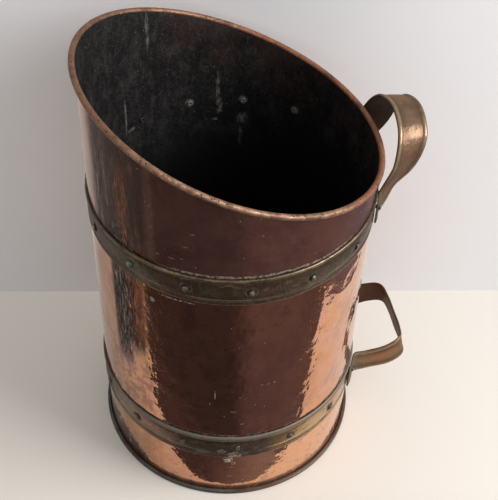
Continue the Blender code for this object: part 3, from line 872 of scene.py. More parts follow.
def band_brass(name, colours, turned_by, height, aged):
    """Pressed brass strip under an olive brown film: bright on the beads, dark in the grooves.

    Dirt and a green rim surround each rivet. The lower band shows gold at the right, tan at the
    left, and a dried deposit below its middle.
    """
    metal = Surface(name, colours)
    crest, groove = metal.kept("crest", "groove")
    rubbed = metal.all_of(
        crest,
        metal.patches(0.022, 0.022, 0.36, 0.60, 4.0, 3.7),
        metal.levels(1.0, (aged.golden, 0.4)),
    )
    # In front the film is heavier: film, and painted reflection of the dark room that the band
    # mirrors there.
    film = metal.levels(aged.film, (metal.facing(-108.0, 26.0, 46.0), aged.front_film_and_reflection))
    film = metal.levels(film, (metal.patches(0.020, 0.007, 0.40, 0.64, 5.0, 1.3), 1.0))
    film = metal.any_of(film, metal.all_of(metal.facing(aged.limb, 20.0, 30.0), 0.95))
    gold = metal.all_of(
        metal.facing(-58.0, 17.0, 27.0),
        metal.patches(0.024, 0.0055, 0.34, 0.44, 4.0, 25.0),
        metal.levels(aged.golden, (crest, 0.0)),
    )
    tan = metal.all_of(metal.facing(-138.0, 13.0, 18.0), aged.golden)
    dull_bead = metal.all_of(metal.belt(0.1005, 0.110, 0.0008), aged.golden)
    drawn = metal.patches(0.040, 0.0008, 0.58, 0.68, 2.0, 10.5)
    seats = (SEAT_OUTSIDE, SEAT_INSIDE, SEAT_DIRT)
    outside, inside, near = (metal.rivet_rings(turned_by, height, *reach) for reach in seats)
    outside_of = {0: 1.0, 1: inside}
    outside_of = add_node(metal.tree, "ShaderNodeMath", outside_of, operation="SUBTRACT")[0]
    seat_rim = metal.all_of(outside, outside_of)
    dirt = metal.any_of(
        metal.all_of(groove, metal.patches(0.012, 0.012, 0.22, 0.42, 3.0, 6.0)),
        metal.all_of(near, 0.9),
        metal.all_of(metal.facing(aged.limb, 14.0, 26.0), 0.60),
    )
    green = metal.any_of(
        metal.all_of(seat_rim, metal.patches(0.005, 0.005, 0.50, 0.66, 3.0, 8.8), 0.7),
        metal.all_of(groove, metal.patches(0.009, 0.009, 0.58, 0.68, 3.0, 12.2)),
        metal.all_of(metal.patches(0.010, 0.006, 0.68, 0.76, 4.0, 17.0), 0.7),
    )
    lime = metal.all_of(
        metal.any_of(*(metal.spot(*crust, BAND_FACE_RADIUS) for crust in BAND_CRUSTS)),
        metal.patches(0.0026, 0.0026, 0.40, 0.56, 3.0, 2.4),
    )
    smudge = metal.spot(-111.0, 0.0785, 0.018, 0.012, BAND_FACE_RADIUS, 0.6, 0.9)
    base = metal.coats(
        "brass",
        (film, 1, "brass_film"),
        (gold, 1, "brass_gold"),
        (tan, 0.7, "rim"),
        (metal.patches(0.012, 0.006, 0.58, 0.70, 4.0, 22.0), 0.35, "brass_worn"),
        (metal.any_of(metal.all_of(drawn, 0.4), metal.scratches(10.5)), 0.30, "brass_worn"),
        (rubbed, 0.75, "brass_worn"),
        (dull_bead, 0.8, "tail"),
        (dirt, 0.85, "grime"),
        (green, 0.85, "verdigris"),
        (smudge, 0.45, "ash"),
        (lime, 0.72, "lime"),
    )
    rough = metal.levels(0.22, (film, 0.36), (gold, 0.16), (rubbed, 0.28))
    sockets = {
        "Base Color": base,
        "Metallic": metal.levels(0.85, (dull_bead, 0.2), (metal.any_of(dirt, green, lime), 0.3)),
        "Roughness": metal.levels(rough, (dull_bead, 0.6), (dirt, 0.65)),
    }
    return metal.finish(sockets, metal.patches(0.0045, 0.0030, 0.3, 0.7, 4.0, 18.0), 0.00010)


def strap_brass(name, colours, aged):
    """Brass strap, worn by the hand: brown film with drawn lines, a rusty core and edges.

    It is green along the beads and grooves and thickest green on the feet. Its inner face is
    painted near black: painted shade.
    """
    metal = Surface(name, colours)
    crest, groove, inner, foot, core = metal.kept("crest", "groove", "inner", "foot", "core")
    seed = aged.seed
    film = metal.patches(0.026, 0.026, 0.36, 0.64, 4.0, seed)
    across = add_node(metal.tree, "ShaderNodeCombineXYZ", {0: core})[0]
    drawn = metal.all_of(
        metal.patches(0.060, 1.0, 0.46, 0.60, 3.0, seed + 13.0, 0.0, across),
        metal.patches(0.030, 0.030, 0.34, 0.56, 2.0, seed + 14.0),
    )
    edge_green = metal.all_of(
        metal.any_of(groove, crest), metal.patches(0.016, 0.016, 0.44, 0.60, 4.0, seed + 6.0)
    )
    rubbed = metal.all_of(crest, metal.patches(0.030, 0.030, 0.32, 0.60, 3.0, seed + 5.0))
    green = metal.all_of(foot, metal.patches(0.007, 0.009, 0.36, 0.56, 4.0, seed + 7.0))
    bright = metal.all_of(foot, metal.patches(0.004, 0.005, 0.56, 0.66, 4.0, seed + 8.0))
    dirt = metal.all_of(groove, metal.patches(0.015, 0.015, 0.20, 0.45, 3.0, seed + 9.0))
    red = metal.all_of(metal.patches(0.022, 0.012, 0.42, 0.62, 4.0, seed + 3.0), core)
    base = metal.coats(
        aged.colour,
        (film, 0.48, "brass_film"),
        (drawn, 0.5, "stain"),
        (red, aged.red, "rust"),
        (edge_green, 0.55, "foot_green"),
        (rubbed, 0.48, "brass_worn"),
        (dirt, 0.80, "grime"),
        # The inner face is painted near black: painted shade.
        (inner, 0.93, "strap_inside"),
        (metal.any_of(inner, crest), aged.red_edge, "rust"),
        (green, 0.75, "foot_green"),
        (bright, 0.40, "verdigris"),
    )
    rough = metal.levels(0.29, (film, 0.40), (rubbed, 0.26), (inner, 0.55), (green, 0.7))
    sockets = {
        "Base Color": base,
        "Metallic": metal.levels(0.50, (inner, 0.15), (green, 0.2)),
        "Roughness": rough,
        "Specular Tint": tuple(colours.brass_worn),
    }
    return metal.finish(sockets, metal.patches(0.008, 0.008, 0.3, 0.7, 4.0, seed + 11.0), 0.00028)


def rivet_copper(colours):
    """Domed copper rivets: pink on top, rubbed and partly a painted highlight; dark round the edge
    and in patches, dirt and partly painted shade; greyer on the lower band.

    Some have gone green. The rolled tails inside are dark, and dusty where the light falls.
    """
    metal = Surface("rubbed_copper_rivet", colours)
    dome, tail = metal.kept("dome", "tail")
    # The dome's top is painted pink: rubbed copper, and partly a painted highlight.
    top = {"Value": dome, "From Min": 0.35, "From Max": 0.95}
    top = add_node(metal.tree, "ShaderNodeMapRange", top, interpolation_type=SMOOTH)[0]
    worn = metal.patches(0.0026, 0.0026, 0.34, 0.60, 3.0, 2.0)
    green = metal.any_of(
        metal.patches(0.0040, 0.0040, 0.60, 0.68, 3.0, 5.0),
        metal.spot(-140.9, 0.334, 0.014, 0.014, HEAD_PLACE_RADIUS),
    )
    # Below the top and in stain patches the head is dark: dirt, and partly painted shade.
    base = metal.coats(
        "grime",
        (top, 1, "rivet"),
        (worn, 0.55, "stain"),
        (metal.belt(0.05, 0.11, 0.01), 0.45, "tail"),
        (green, 0.7, "verdigris"),
        (tail, 1, "grime"),
        (metal.all_of(tail, metal.facing(75.0, 28.0, 40.0)), 1, "tail"),
    )
    sockets = {
        "Base Color": base,
        "Metallic": metal.levels(0.85, (tail, 0.2)),
        "Roughness": metal.levels(0.40, (top, 0.30), (tail, 0.6)),
    }
    return metal.finish(sockets, worn, 0.0002)


def drawn_steel(colours):
    """Plain drawn steel wire, grey with spots of rust."""
    metal = Surface("drawn_steel_wire", colours)
    rust = metal.patches(0.012, 0.012, 0.52, 0.70, 4.0, 1.0)
    return metal.finish(
        {
            "Base Color": metal.coats("steel", (rust, 0.6, "rust")),
            "Metallic": 0.9,
            "Roughness": metal.levels(0.35, (rust, 0.7)),
        }
    )


def add_piece(name, mesh, slot, *nodes):
    """Puts a finished mesh in the scene for CAD nodes, on the part's one body."""
    piece = bpy.data.objects.new(name, mesh)
    bpy.context.scene.collection.objects.link(piece)
    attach(piece, "root")
    if nodes:
        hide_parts(*nodes)
    return piece


def smooth(mesh, degrees):
    mesh.shade_smooth()
    mesh.set_sharp_from_angle(angle=math.radians(degrees))


def keep(mesh, name, shares):
    """Stores a share at each point of a mesh for its material or its nodes to read."""
    attribute = mesh.attributes.new(name, "FLOAT", "POINT")
    attribute.data.foreach_set("value", shares)


def finished_mesh(bm, name, degrees):
    """The mesh with its faces outwards, smooth but for edges sharper than so many degrees."""
    bmesh.ops.recalc_face_normals(bm, faces=bm.faces)
    mesh = bpy.data.meshes.new(name)
    bm.to_mesh(mesh)
    bm.free()
    smooth(mesh, degrees)
    return mesh


def loft(name, rings):
    """A closed mesh through rings of points, with its two ends capped."""
    bm = bmesh.new()
    verts = [[bm.verts.new(point) for point in ring] for ring in rings]
    count = len(rings[0])
    for ring, following in zip(verts, verts[1:]):
        for i in range(count):
            j = (i + 1) % count
            bm.faces.new((ring[i], ring[j], following[j], following[i]))
    bm.faces.new(verts[0])
    bm.faces.new(verts[-1])
    return finished_mesh(bm, name, STRIP_SMOOTH)


def arc(middle, radius, start, end, steps):
    """Points (radius, height) along an arc from start to end degrees, both included."""
    angles = [math.radians(start + (end - start) * i / steps) for i in range(steps + 1)]
    return [(middle[0] + radius * math.cos(a), middle[1] + radius * math.sin(a)) for a in angles]


def steps_between(low, high, spacing):
    """Heights from low to high about the spacing apart, both included."""
    count = max(1, round((high - low) / spacing))
    return [low + (high - low) * i / count for i in range(count + 1)]


def mouth_height(sizes, azimuth):
    """Height of the rim's middle round the slanted mouth."""
    away = azimuth - sizes.mouth_turn
    middle = (sizes.mouth_lip + sizes.mouth_low) / 2
    slant = (sizes.mouth_lip - sizes.mouth_low) / 2
    return middle - slant * math.cos(away) - sizes.mouth_sag * math.sin(away) ** 2


class Row(NamedTuple):
    """A row of points round the wall: low height, share of the way up to the rim, over the rim."""

    radius: float
    low: float
    share: float
    over: float
    zone: int
    marks: float


def body_rows(sizes):
    """The wall's section from the foot flange up outside, round the rim and down inside."""
    inside = sizes.wall_radius - sizes.sheet
    flange = sizes.wall_radius + sizes.flange_reach
    flange_top = sizes.foot_underside + sizes.sheet
    bend = (sizes.wall_radius + sizes.flange_bend, flange_top + sizes.flange_bend)
    rows = [Row(flange, flange_top, 0, 0, OUTSIDE, 0)]
    for radius, height in arc(bend, sizes.flange_bend, 270, 180, BEND_STEPS):
        rows.append(Row(radius, height, 0, 0, OUTSIDE, 0))
    under_lower, over_lower = LOWER_BAND_BOX[0].z, LOWER_BAND_BOX[1].z
    under_upper, over_upper = UPPER_BAND_BOX[0].z, UPPER_BAND_BOX[1].z
    for low, high in ((bend[1] + ROW_SPACING, under_lower), (over_lower, under_upper)):
        for height in steps_between(low, high, ROW_SPACING):
            marks = min(1, (height - bend[1]) / MARKS_FADE)
            rows.append(Row(sizes.wall_radius, height, 0, 0, OUTSIDE, marks))
    for i in range(UPPER_ROWS + 1):
        rows.append(Row(sizes.wall_radius, over_upper, i / UPPER_ROWS, 0, OUTSIDE, 0))
    curl = (sizes.wall_radius + sizes.curl_inside, 0)
    for radius, over in arc(curl, sizes.curl_inside, 180, -CURL_END, CURL_STEPS[0])[1:]:
        rows.append(Row(radius, 0, 1, over, RIM, 0))
    for radius, over in arc(curl, sizes.curl_inside + sizes.sheet, -CURL_END, 180, CURL_STEPS[1]):
        rows.append(Row(radius, 0, 1, over, RIM, 0))
    for i in range(1, INSIDE_ROWS + 1):
        rows.append(Row(inside, under_upper, 1 - i / INSIDE_ROWS, 0, INSIDE, 0))
    for height in reversed(steps_between(bend[1], under_upper, INSIDE_SPACING)[:-1]):
        rows.append(Row(inside, height, 0, 0, INSIDE, 0))
    for radius, height in arc(bend, sizes.flange_bend + sizes.sheet, 180, 270, BEND_STEPS)[1:]:
        rows.append(Row(radius, height, 0, 0, INSIDE, 0))
    rows.append(Row(flange, sizes.foot_underside, 0, 0, INSIDE, 0))
    return rows


def body_mesh(sizes):
    """The wall as rings round the axis, with each face's zone and where marks and waves go."""
    rows = body_rows(sizes)
    flange_top = sizes.foot_underside + sizes.sheet
    bm = bmesh.new()
    marks, waves, below_rim = (
        bm.verts.layers.float.new(name) for name in ("marks", "waves", "below_rim")
    )
    zone = bm.faces.layers.int.new("zone")
    rings = []
    for row in rows:
        ring = []
        for i in range(BODY_SIDES):
            azimuth = math.tau * i / BODY_SIDES
            rim = mouth_height(sizes, azimuth) + row.over
            height = row.low + row.share * (rim - row.low)
            point = (row.radius * math.cos(azimuth), row.radius * math.sin(azimuth), height)
            vertex = bm.verts.new(point)
            vertex[marks] = row.marks
            vertex[below_rim] = rim - height
            if row.zone == OUTSIDE:
                foot_fade = (height - flange_top) / MARKS_FADE
                vertex[waves] = max(0, min(1, foot_fade, (1 - row.share) / WAVES_FADE))
            ring.append(vertex)
        rings.append(ring)
    for k, row in enumerate(rows):
        following = (k + 1) % len(rows)
        where = rows[following].zone
        if where == RIM and row.zone != RIM:
            where = row.zone
        for i in range(BODY_SIDES):
            j = (i + 1) % BODY_SIDES
            corners = (rings[k][i], rings[k][j], rings[following][j], rings[following][i])
            bm.faces.new(corners)[zone] = where
    return finished_mesh(bm, "copper_body", BODY_SMOOTH)


def new_tree(name, *inputs):
    """A Geometry Nodes tree with a geometry input and output, and the named inputs."""
    tree = bpy.data.node_groups.new(name, "GeometryNodeTree")
    tree.interface.new_socket("Geometry", in_out="INPUT", socket_type="NodeSocketGeometry")
    tree.interface.new_socket("Geometry", in_out="OUTPUT", socket_type="NodeSocketGeometry")
    for label, kind in inputs:
        tree.interface.new_socket(label, in_out="INPUT", socket_type=kind)
    given = add_node(tree, "NodeGroupInput")
    result = tree.nodes.new("NodeGroupOutput")
    return tree, given, result


def run_tree(mesh, tree, values):
    """The plain mesh that a tree makes of a mesh, with the tree's inputs set by name."""
    holder = bpy.data.objects.new(mesh.name, mesh)
    bpy.context.scene.collection.objects.link(holder)
    modifier = holder.modifiers.new(tree.name, "NODES")
    modifier.node_group = tree
    for item in tree.interface.items_tree:
        if item.in_out == "INPUT" and item.name in values:
            modifier[item.identifier] = values[item.name]
    bpy.context.view_layer.update()
    graph = bpy.context.evaluated_depsgraph_get()
    result = bpy.data.meshes.new_from_object(holder.evaluated_get(graph))
    bpy.data.objects.remove(holder, do_unlink=True)
    return result


def hammer_tree(outside, rim, inside):
    """Moves the wall in at each hammer mark's middle and out at its edge, and adds slow waves.

    Each zone gets its metal.
    """
    names = ("Mark Size", "Mark Depth", "Dent Size", "Dent Depth", "Seed")
    tree, given, result = new_tree("hammered wall", *((name, "NodeSocketFloat") for name in names))
    mark_size, mark_depth, dent_size, dent_depth, seed = (given[name] for name in names)
    where = add_node(tree, "GeometryNodeInputPosition")[0]
    outward = {0: where, 1: (1, 1, 0)}
    outward = add_node(tree, "ShaderNodeVectorMath", outward, operation="MULTIPLY")[0]
    outward = add_node(tree, "ShaderNodeVectorMath", {0: outward}, operation="NORMALIZE")[0]
    marks, waves, zone = (
        add_node(tree, "GeometryNodeInputNamedAttribute", {"Name": name}, data_type=kind)[0]
        for name, kind in (("marks", "FLOAT"), ("waves", "FLOAT"), ("zone", "INT"))
    )
    mark_scale, dent_scale = (
        add_node(tree, "ShaderNodeMath", {0: 1.0, 1: size}, operation="DIVIDE")[0]
        for size in (mark_size, dent_size)
    )
    tall = {0: where, 1: (1, 1, MARK_FLATNESS)}
    tall = add_node(tree, "ShaderNodeVectorMath", tall, operation="MULTIPLY")[0]
    cells = {"Vector": tall, "W": seed, "Scale": mark_scale, "Smoothness": MARK_BLEND}
    kind = {"voronoi_dimensions": "4D", "feature": "SMOOTH_F1"}
    away = add_node(tree, "ShaderNodeTexVoronoi", cells, **kind)["Distance"]
    hollow = {0: MARK_MIDDLE, 1: product(tree, away, away)}
    hollow = add_node(tree, "ShaderNodeMath", hollow, operation="SUBTRACT")[0]
    wave = {"Vector": where, "Scale": dent_scale, "Detail": 1.0}
    wave = add_node(tree, "ShaderNodeTexNoise", wave)[0]
    wave = add_node(tree, "ShaderNodeMath", {0: wave, 1: 0.5}, operation="SUBTRACT")[0]
    both = {0: product(tree, hollow, mark_depth, marks), 1: product(tree, wave, dent_depth, waves)}
    inward = add_node(tree, "ShaderNodeMath", both, operation="ADD")[0]
    offset = {0: outward, "Scale": product(tree, inward, -1.0)}
    offset = add_node(tree, "ShaderNodeVectorMath", offset, operation="SCALE")[0]
    moved = {"Geometry": given["Geometry"], "Offset": offset}
    moved = add_node(tree, "GeometryNodeSetPosition", moved)[0]
    made = add_node(tree, "GeometryNodeRealizeInstances", {0: moved})[0]
    for number, material in ((OUTSIDE, outside), (RIM, rim), (INSIDE, inside)):
        chosen = {2: zone, 3: number}
        chosen = add_node(tree, "FunctionNodeCompare", chosen, data_type="INT", operation="EQUAL")
        made = {"Geometry": made, "Selection": chosen[0], "Material": material}
        made = add_node(tree, "GeometryNodeSetMaterial", made)[0]
    tree.links.new(made, result.inputs[0])
    return tree


def ring_tree(material):
    """Sets the given shape at even steps round the axis, further out at the feet and the lap."""
    inputs = (
        ("Count", "NodeSocketInt"),
        ("Turn", "NodeSocketFloat"),
        ("Height", "NodeSocketFloat"),
        ("Lap Out", "NodeSocketFloat"),
        ("Foot Out", "NodeSocketFloat"),
        ("Seed", "NodeSocketInt"),
    )
    tree, given, result = new_tree("rivets round a band", *inputs)
    count, turn_by, height, lap_out, foot_out, seed = (given[name] for name, _ in inputs)
    points = add_node(tree, "GeometryNodePoints", {"Count": count})[0]
    index = add_node(tree, "GeometryNodeInputIndex")[0]
    step = add_node(tree, "ShaderNodeMath", {0: math.tau, 1: count}, operation="DIVIDE")[0]
    angle = {0: index, 1: step, 2: turn_by}
    angle = add_node(tree, "ShaderNodeMath", angle, operation="MULTIPLY_ADD")[0]
    out = 0.0
    for number, further in ((0, lap_out), *((number, foot_out) for number in FOOT_RIVETS)):
        chosen = {2: index, 3: number}
        chosen = add_node(tree, "FunctionNodeCompare", chosen, data_type="INT", operation="EQUAL")
        out = {0: chosen[0], 1: out, 2: further}
        out = add_node(tree, "GeometryNodeSwitch", out, input_type="FLOAT")[0]
    x, y = (
        product(tree, add_node(tree, "ShaderNodeMath", {0: angle}, operation=way)[0], out)
        for way in ("COSINE", "SINE")
    )
    place = add_node(tree, "ShaderNodeCombineXYZ", {"X": x, "Y": y, "Z": height})[0]
    placed = {"Geometry": points, "Position": place}
    placed = add_node(tree, "GeometryNodeSetPosition", placed)[0]
    roll = {2: 0.0, 3: math.tau, "Seed": seed}
    roll = add_node(tree, "FunctionNodeRandomValue", roll, data_type="FLOAT")[1]
    turns = []
    for angles in ({"X": roll}, {"Z": angle}):
        angles = add_node(tree, "ShaderNodeCombineXYZ", angles)[0]
        turns.append(add_node(tree, "FunctionNodeEulerToRotation", {0: angles})[0])
    facing_out = {0: turns[0], 1: turns[1]}
    facing_out = add_node(tree, "FunctionNodeRotateRotation", facing_out, rotation_space="GLOBAL")
    copies = {
        "Points": placed,
        "Instance": given["Geometry"],
        "Rotation": facing_out[0],
    }
    copies = add_node(tree, "GeometryNodeInstanceOnPoints", copies)[0]
    made = add_node(tree, "GeometryNodeRealizeInstances", {0: copies})[0]
    made = {"Geometry": made, "Material": material}
    made = add_node(tree, "GeometryNodeSetMaterial", made)[0]
    tree.links.new(made, result.inputs[0])
    return tree


def turned(name, profile, sides):
    """A solid of revolution about Z from (radius, height) points whose ends are on the axis."""
    bm = bmesh.new()
    rings = []
    for radius, height in profile:
        if radius < 1e-6:
            rings.append([bm.verts.new((0, 0, height))])
        else:
            ring = []
            for i in range(sides):
                angle = math.tau * i / sides
                place = (radius * math.cos(angle), radius * math.sin(angle), height)
                ring.append(bm.verts.new(place))
            rings.append(ring)
    for ring, following in zip(rings, rings[1:]):
        for i in range(sides):
            j = (i + 1) % sides
            if len(ring) == 1:
                bm.faces.new((ring[0], following[j], following[i]))
            elif len(following) == 1:
                bm.faces.new((ring[i], ring[j], following[0]))
            else:
                bm.faces.new((ring[i], ring[j], following[j], following[i]))
    return finished_mesh(bm, name, TURNED_SMOOTH)


def rivet_shape(sizes):
    """A rivet along +X whose head bears on a band: domed head, shank and rolled tail."""
    seat = sizes.wall_radius + sizes.band_seat + sizes.band_sheet + sizes.clearance
    tail_seat = sizes.wall_radius - sizes.sheet - TAIL_GAP
    middle_angle = 2 * math.atan(sizes.head_rise / sizes.head_radius)
    dome = sizes.head_radius / math.sin(middle_angle)
    profile = []
    for i in range(DOME_STEPS + 1):
        angle = middle_angle * i / DOME_STEPS
        rise = dome * (math.cos(angle) - math.cos(middle_angle))
        profile.append((dome * math.sin(angle), seat + HEAD_EDGE + rise))
    profile += [(sizes.head_radius, seat), (SHANK_RADIUS, seat), (SHANK_RADIUS, tail_seat)]
    profile += [(sizes.tail_radius * share, tail_seat + rise) for share, rise in TAIL_SHAPE]
    mesh = turned("rivet", profile, RIVET_SIDES)
    heights = [vertex.co.z for vertex in mesh.vertices]
    keep(mesh, "dome", [max(0, (z - seat) / (sizes.head_rise + HEAD_EDGE)) for z in heights])
    keep(mesh, "tail", [float(z < tail_seat + TAIL_END) for z in heights])
    mesh.transform(Matrix.Rotation(math.pi / 2, 4, "Y"))
    return mesh


def band_mesh(name, sizes, box, turned_by):
    """A pressed strip once round the wall, whose end laps over its flattened start."""
    low, high = box[0].z, box[1].z
    lap, bend = math.radians(BAND_LAP), math.radians(BAND_BEND)
    step_out = sizes.band_sheet + sizes.clearance
    inner = sizes.wall_radius + sizes.band_seat

    def section(azimuth, out, share):
        outer = inner + out + sizes.band_sheet
        points = [(inner + out, high), (inner + out, low)]
        points += [(outer + rise * share, low + (high - low) * s) for s, rise in BAND_FACE]
        angle = azimuth + turned_by
        return [Vector((r * math.cos(angle), r * math.sin(angle), z)) for r, z in points]

    start, full = -lap / 2, lap / 2
    rings = [section(start, 0, 0), section(full, 0, 0), section(full + bend / 2, 0, 0.5)]
    first, last = full + bend, start + math.tau - bend
    for i in range(BAND_STEPS + 1):
        rings.append(section(first + (last - first) * i / BAND_STEPS, 0, 1))
    rings.append(section(start + math.tau - bend / 2, step_out / 2, 1))
    rings += [section(start + math.tau, step_out, 1), section(full + math.tau, step_out, 1)]
    mesh = loft(name, rings)
    rises = [rise for _, rise in BAND_FACE]
    for name, most in (("crest", max(rises)), ("groove", min(rises))):
        keep(mesh, name, [0, 0, *(max(0, rise / most) for rise in rises)] * len(rings))
    return mesh


def hermite(start, end, leaving, arriving, t):
    """The cubic between two values with its slope at each, at a share t of the way."""
    u = t - 1
    return (
        start * (u * u * (1 + 2 * t))
        + leaving * (t * u * u)
        + end * (t * t * (1 - 2 * u))
        + arriving * (t * t * u)
    )


def through(knots, first_slope, last_slope, steps):
    """Values on a smooth curve through the knots, the first one left out."""
    slopes = [first_slope]
    slopes += [(after - before) / 2 for before, after in zip(knots, knots[2:])]
    slopes += [last_slope]
    values = []
    for i in range(len(knots) - 1):
        for step in range(1, steps + 1):
            values.append(hermite(knots[i], knots[i + 1], slopes[i], slopes[i + 1], step / steps))
    return values


def strap_stations(sizes, shape):
    """Half of a handle, as (middle, lean, twist, width, relief) from a foot's tip to the grip."""
    foot = sizes.wall_radius + sizes.band_seat + sizes.band_sheet + sizes.band_bead
    foot += sizes.band_seat + sizes.strap_sheet / 2
    tip, heel_angle = math.radians(shape.foot_angle), sizes.heel_angle
    stations = []
    for share in FOOT_STATIONS:
        angle = tip + (heel_angle - tip) * share
        place = Vector((math.cos(angle), -math.sin(angle), 0)) * foot
        width = shape.width * min(1, TIP_WIDTH + WIDTH_GROWS * share)
        stations.append((place, 0, 0, width, min(1, BEADS_GROW * share)))
    heel = stations[-1][0]
    knots, leans, twists = [heel], [0], [0]
    for reach, rise, half_span, lean, twist in shape.path:
        y = heel.y * shape.span * half_span
        knots.append(Vector((heel.x + shape.reach * reach, y, shape.rise * rise)))
        leans.append(math.radians(lean))
        twists.append(math.radians(twist))
    along_foot = Vector((math.sin(heel_angle), math.cos(heel_angle), 0))
    leaving = along_foot * (knots[1] - heel).length
    places = through(knots, leaving, Vector((0, -knots[-2].y, 0)), shape.steps)
    leans = through(leans, 0, 0, shape.steps)
    twists = through(twists, 0, twists[-1] - twists[-2], shape.steps)
    stations += [(*at, shape.width, 1) for at in zip(places, leans, twists)]
    return stations


def strap_section(sizes, station, along):
    """One section of a strap: its beaded outer face, then its flat inner face."""
    place, lean, twist, width, share = station
    across = Vector(
        (-math.sin(lean) * math.cos(twist), -math.sin(twist), math.cos(lean) * math.cos(twist))
    )
    across = (across - along * across.dot(along)).normalized()
    outward = along.cross(across)
    half = sizes.strap_sheet / 2
    points = []
    for width_share, bead in STRAP_FACE:
        out = half + sizes.strap_bead * bead * share
        points.append(place + across * width * (width_share - 0.5) + outward * out)
    for side in STRAP_BACK:
        points.append(place + across * width * side - outward * half)
    return points


def strap_mesh(name, sizes, height, turned_by, shape):
    """A handle's strap from foot to foot, with shares for its crests, grooves, core and feet."""
    half = strap_stations(sizes, shape)
    whole = half + [
        (Vector((p.x, -p.y, p.z)), lean, -twist, width, share)
        for p, lean, twist, width, share in reversed(half[:-1])
    ]
    rings = []
    for i, station in enumerate(whole):
        before = whole[max(i - 1, 0)][0]
        after = whole[min(i + 1, len(whole) - 1)][0]
        rings.append(strap_section(sizes, station, (after - before).normalized()))
    mesh = loft(name, rings)
    for share, face, back in (
        ("crest", [max(0, bead) for _, bead in STRAP_FACE], 0),
        ("groove", [max(0, -bead) for _, bead in STRAP_FACE], 0),
        ("core", [max(0, 1 - abs(2 * at - 1) / CORE_WIDTH) for at, _ in STRAP_FACE], 0),
        ("inner", [0] * len(STRAP_FACE), 1),
    ):
        keep(mesh, share, [*face, *[back] * len(STRAP_BACK)] * len(rings))
    foot = []
    for i in range(len(whole)):
        past_heel = min(i, len(whole) - 1 - i) - (len(FOOT_STATIONS) - 1)
        foot += [max(0, 1 - max(0, past_heel) / FOOT_FADE)] * len(rings[0])
    keep(mesh, "foot", foot)
    mesh.transform(Matrix.Translation((0, 0, height)) @ Matrix.Rotation(turned_by, 4, "Z"))
    return mesh


def bands(sizes):
    """Each band's name, the box of its solid, the height of its rivets and its turn."""
    for name, box, turned_by in (
        ("upper", UPPER_BAND_BOX, sizes.upper_turn),
        ("lower", LOWER_BAND_BOX, 0.0),
    ):
        yield name, box, (box[0].z + box[1].z) / 2, turned_by


class SCUTTLE_OT_body(bpy.types.Operator):
    """Builds the hammered copper wall with its rolled rim"""

    bl_idname = "scuttle.body"
    bl_label = "Body"

    def execute(self, context):
        sizes, colours = context.scene.scuttle_sizes, context.scene.scuttle_colours
        _, _, rivets_at, turned_by = next(bands(sizes))
        soot = sooty_copper(colours, turned_by, rivets_at)
        tree = hammer_tree(planished_copper(colours), rolled_rim_copper(colours), soot)
        values = {
            "Mark Size": sizes.mark_size,
            "Mark Depth": sizes.mark_depth,
            "Dent Size": sizes.dent_size,
            "Dent Depth": sizes.dent_depth,
            "Seed": MARK_SEED,
        }
        mesh = run_tree(body_mesh(sizes), tree, values)
        mesh.name = "copper_body"
        add_piece("copper_body", mesh, "copper_wall", "body_shell")
        return {"FINISHED"}


class SCUTTLE_OT_base(bpy.types.Operator):
    """Builds the base plate, whose edge is turned up over the wall's foot"""

    bl_idname = "scuttle.base"
    bl_label = "Base"

    def execute(self, context):
        sizes, colours = context.scene.scuttle_sizes, context.scene.scuttle_colours
        inner = sizes.wall_radius + sizes.flange_reach + sizes.clearance
        outer = inner + sizes.base_sheet
        under = sizes.foot_underside + sizes.sheet + sizes.clearance
        top = under + sizes.base_sheet
        lip = sizes.wall_radius + LIP_GAP
        small, wide = EDGE_ROUND
        profile = [(0, sizes.base_sheet), (inner, sizes.base_sheet), (inner, under), (lip, under)]
        profile += [(lip, top - small), (lip + small, top), (outer - wide, top)]
        profile += [(outer - small, top - small), (outer, top - wide), (outer, UNDER_ROUND[1])]
        profile += [(outer - small, UNDER_ROUND[0]), (outer - wide, 0), (0, 0)]
        mesh = turned("base", profile, BASE_SIDES)
        mesh.materials.append(foot_copper(colours))
        add_piece("copper_base", mesh, "copper_base", "base_plate")
        return {"FINISHED"}


class SCUTTLE_OT_wire(bpy.types.Operator):
    """Gives the wire inside the rim its steel"""

    bl_idname = "scuttle.wire"
    bl_label = "Wire"

    def execute(self, context):
        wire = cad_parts["rim_wire"]
        wire.data.materials.clear()
        wire.data.materials.append(drawn_steel(context.scene.scuttle_colours))
        return {"FINISHED"}


class SCUTTLE_OT_bands(bpy.types.Operator):
    """Builds the two pressed brass bands"""

    bl_idname = "scuttle.bands"
    bl_label = "Bands"

    def execute(self, context):
        sizes, colours = context.scene.scuttle_sizes, context.scene.scuttle_colours
        for name, box, height, turned_by in bands(sizes):
            mesh = band_mesh(f"{name}_brass_band", sizes, box, turned_by)
            metal = f"aged_brass_{name}_band"
            mesh.materials.append(band_brass(metal, colours, turned_by, height, BAND_LOOKS[name]))
            add_piece(f"{name}_brass_band", mesh, "band_brass", f"{name}_band")
        return {"FINISHED"}


class SCUTTLE_OT_rivets(bpy.types.Operator):
    """Builds the domed rivets round both bands"""

    bl_idname = "scuttle.rivets"
    bl_label = "Rivets"

    def execute(self, context):
        sizes, colours = context.scene.scuttle_sizes, context.scene.scuttle_colours
        tree = ring_tree(rivet_copper(colours))
        for seed, (name, _, height, turned_by) in enumerate(bands(sizes), 1):
            values = {
                "Count": RIVETS,
                "Turn": turned_by,
                "Height": height,
                "Lap Out": sizes.band_sheet + sizes.clearance,
                "Foot Out": sizes.band_bead + sizes.band_seat + sizes.strap_sheet,
                "Seed": seed,
            }
            mesh = run_tree(rivet_shape(sizes), tree, values)
            smooth(mesh, TURNED_SMOOTH)
            nodes = [f"{name}_rivet_{i:02d}" for i in range(RIVETS)]
            add_piece(f"{name}_rivets", mesh, "rivet_copper", *nodes)
        return {"FINISHED"}


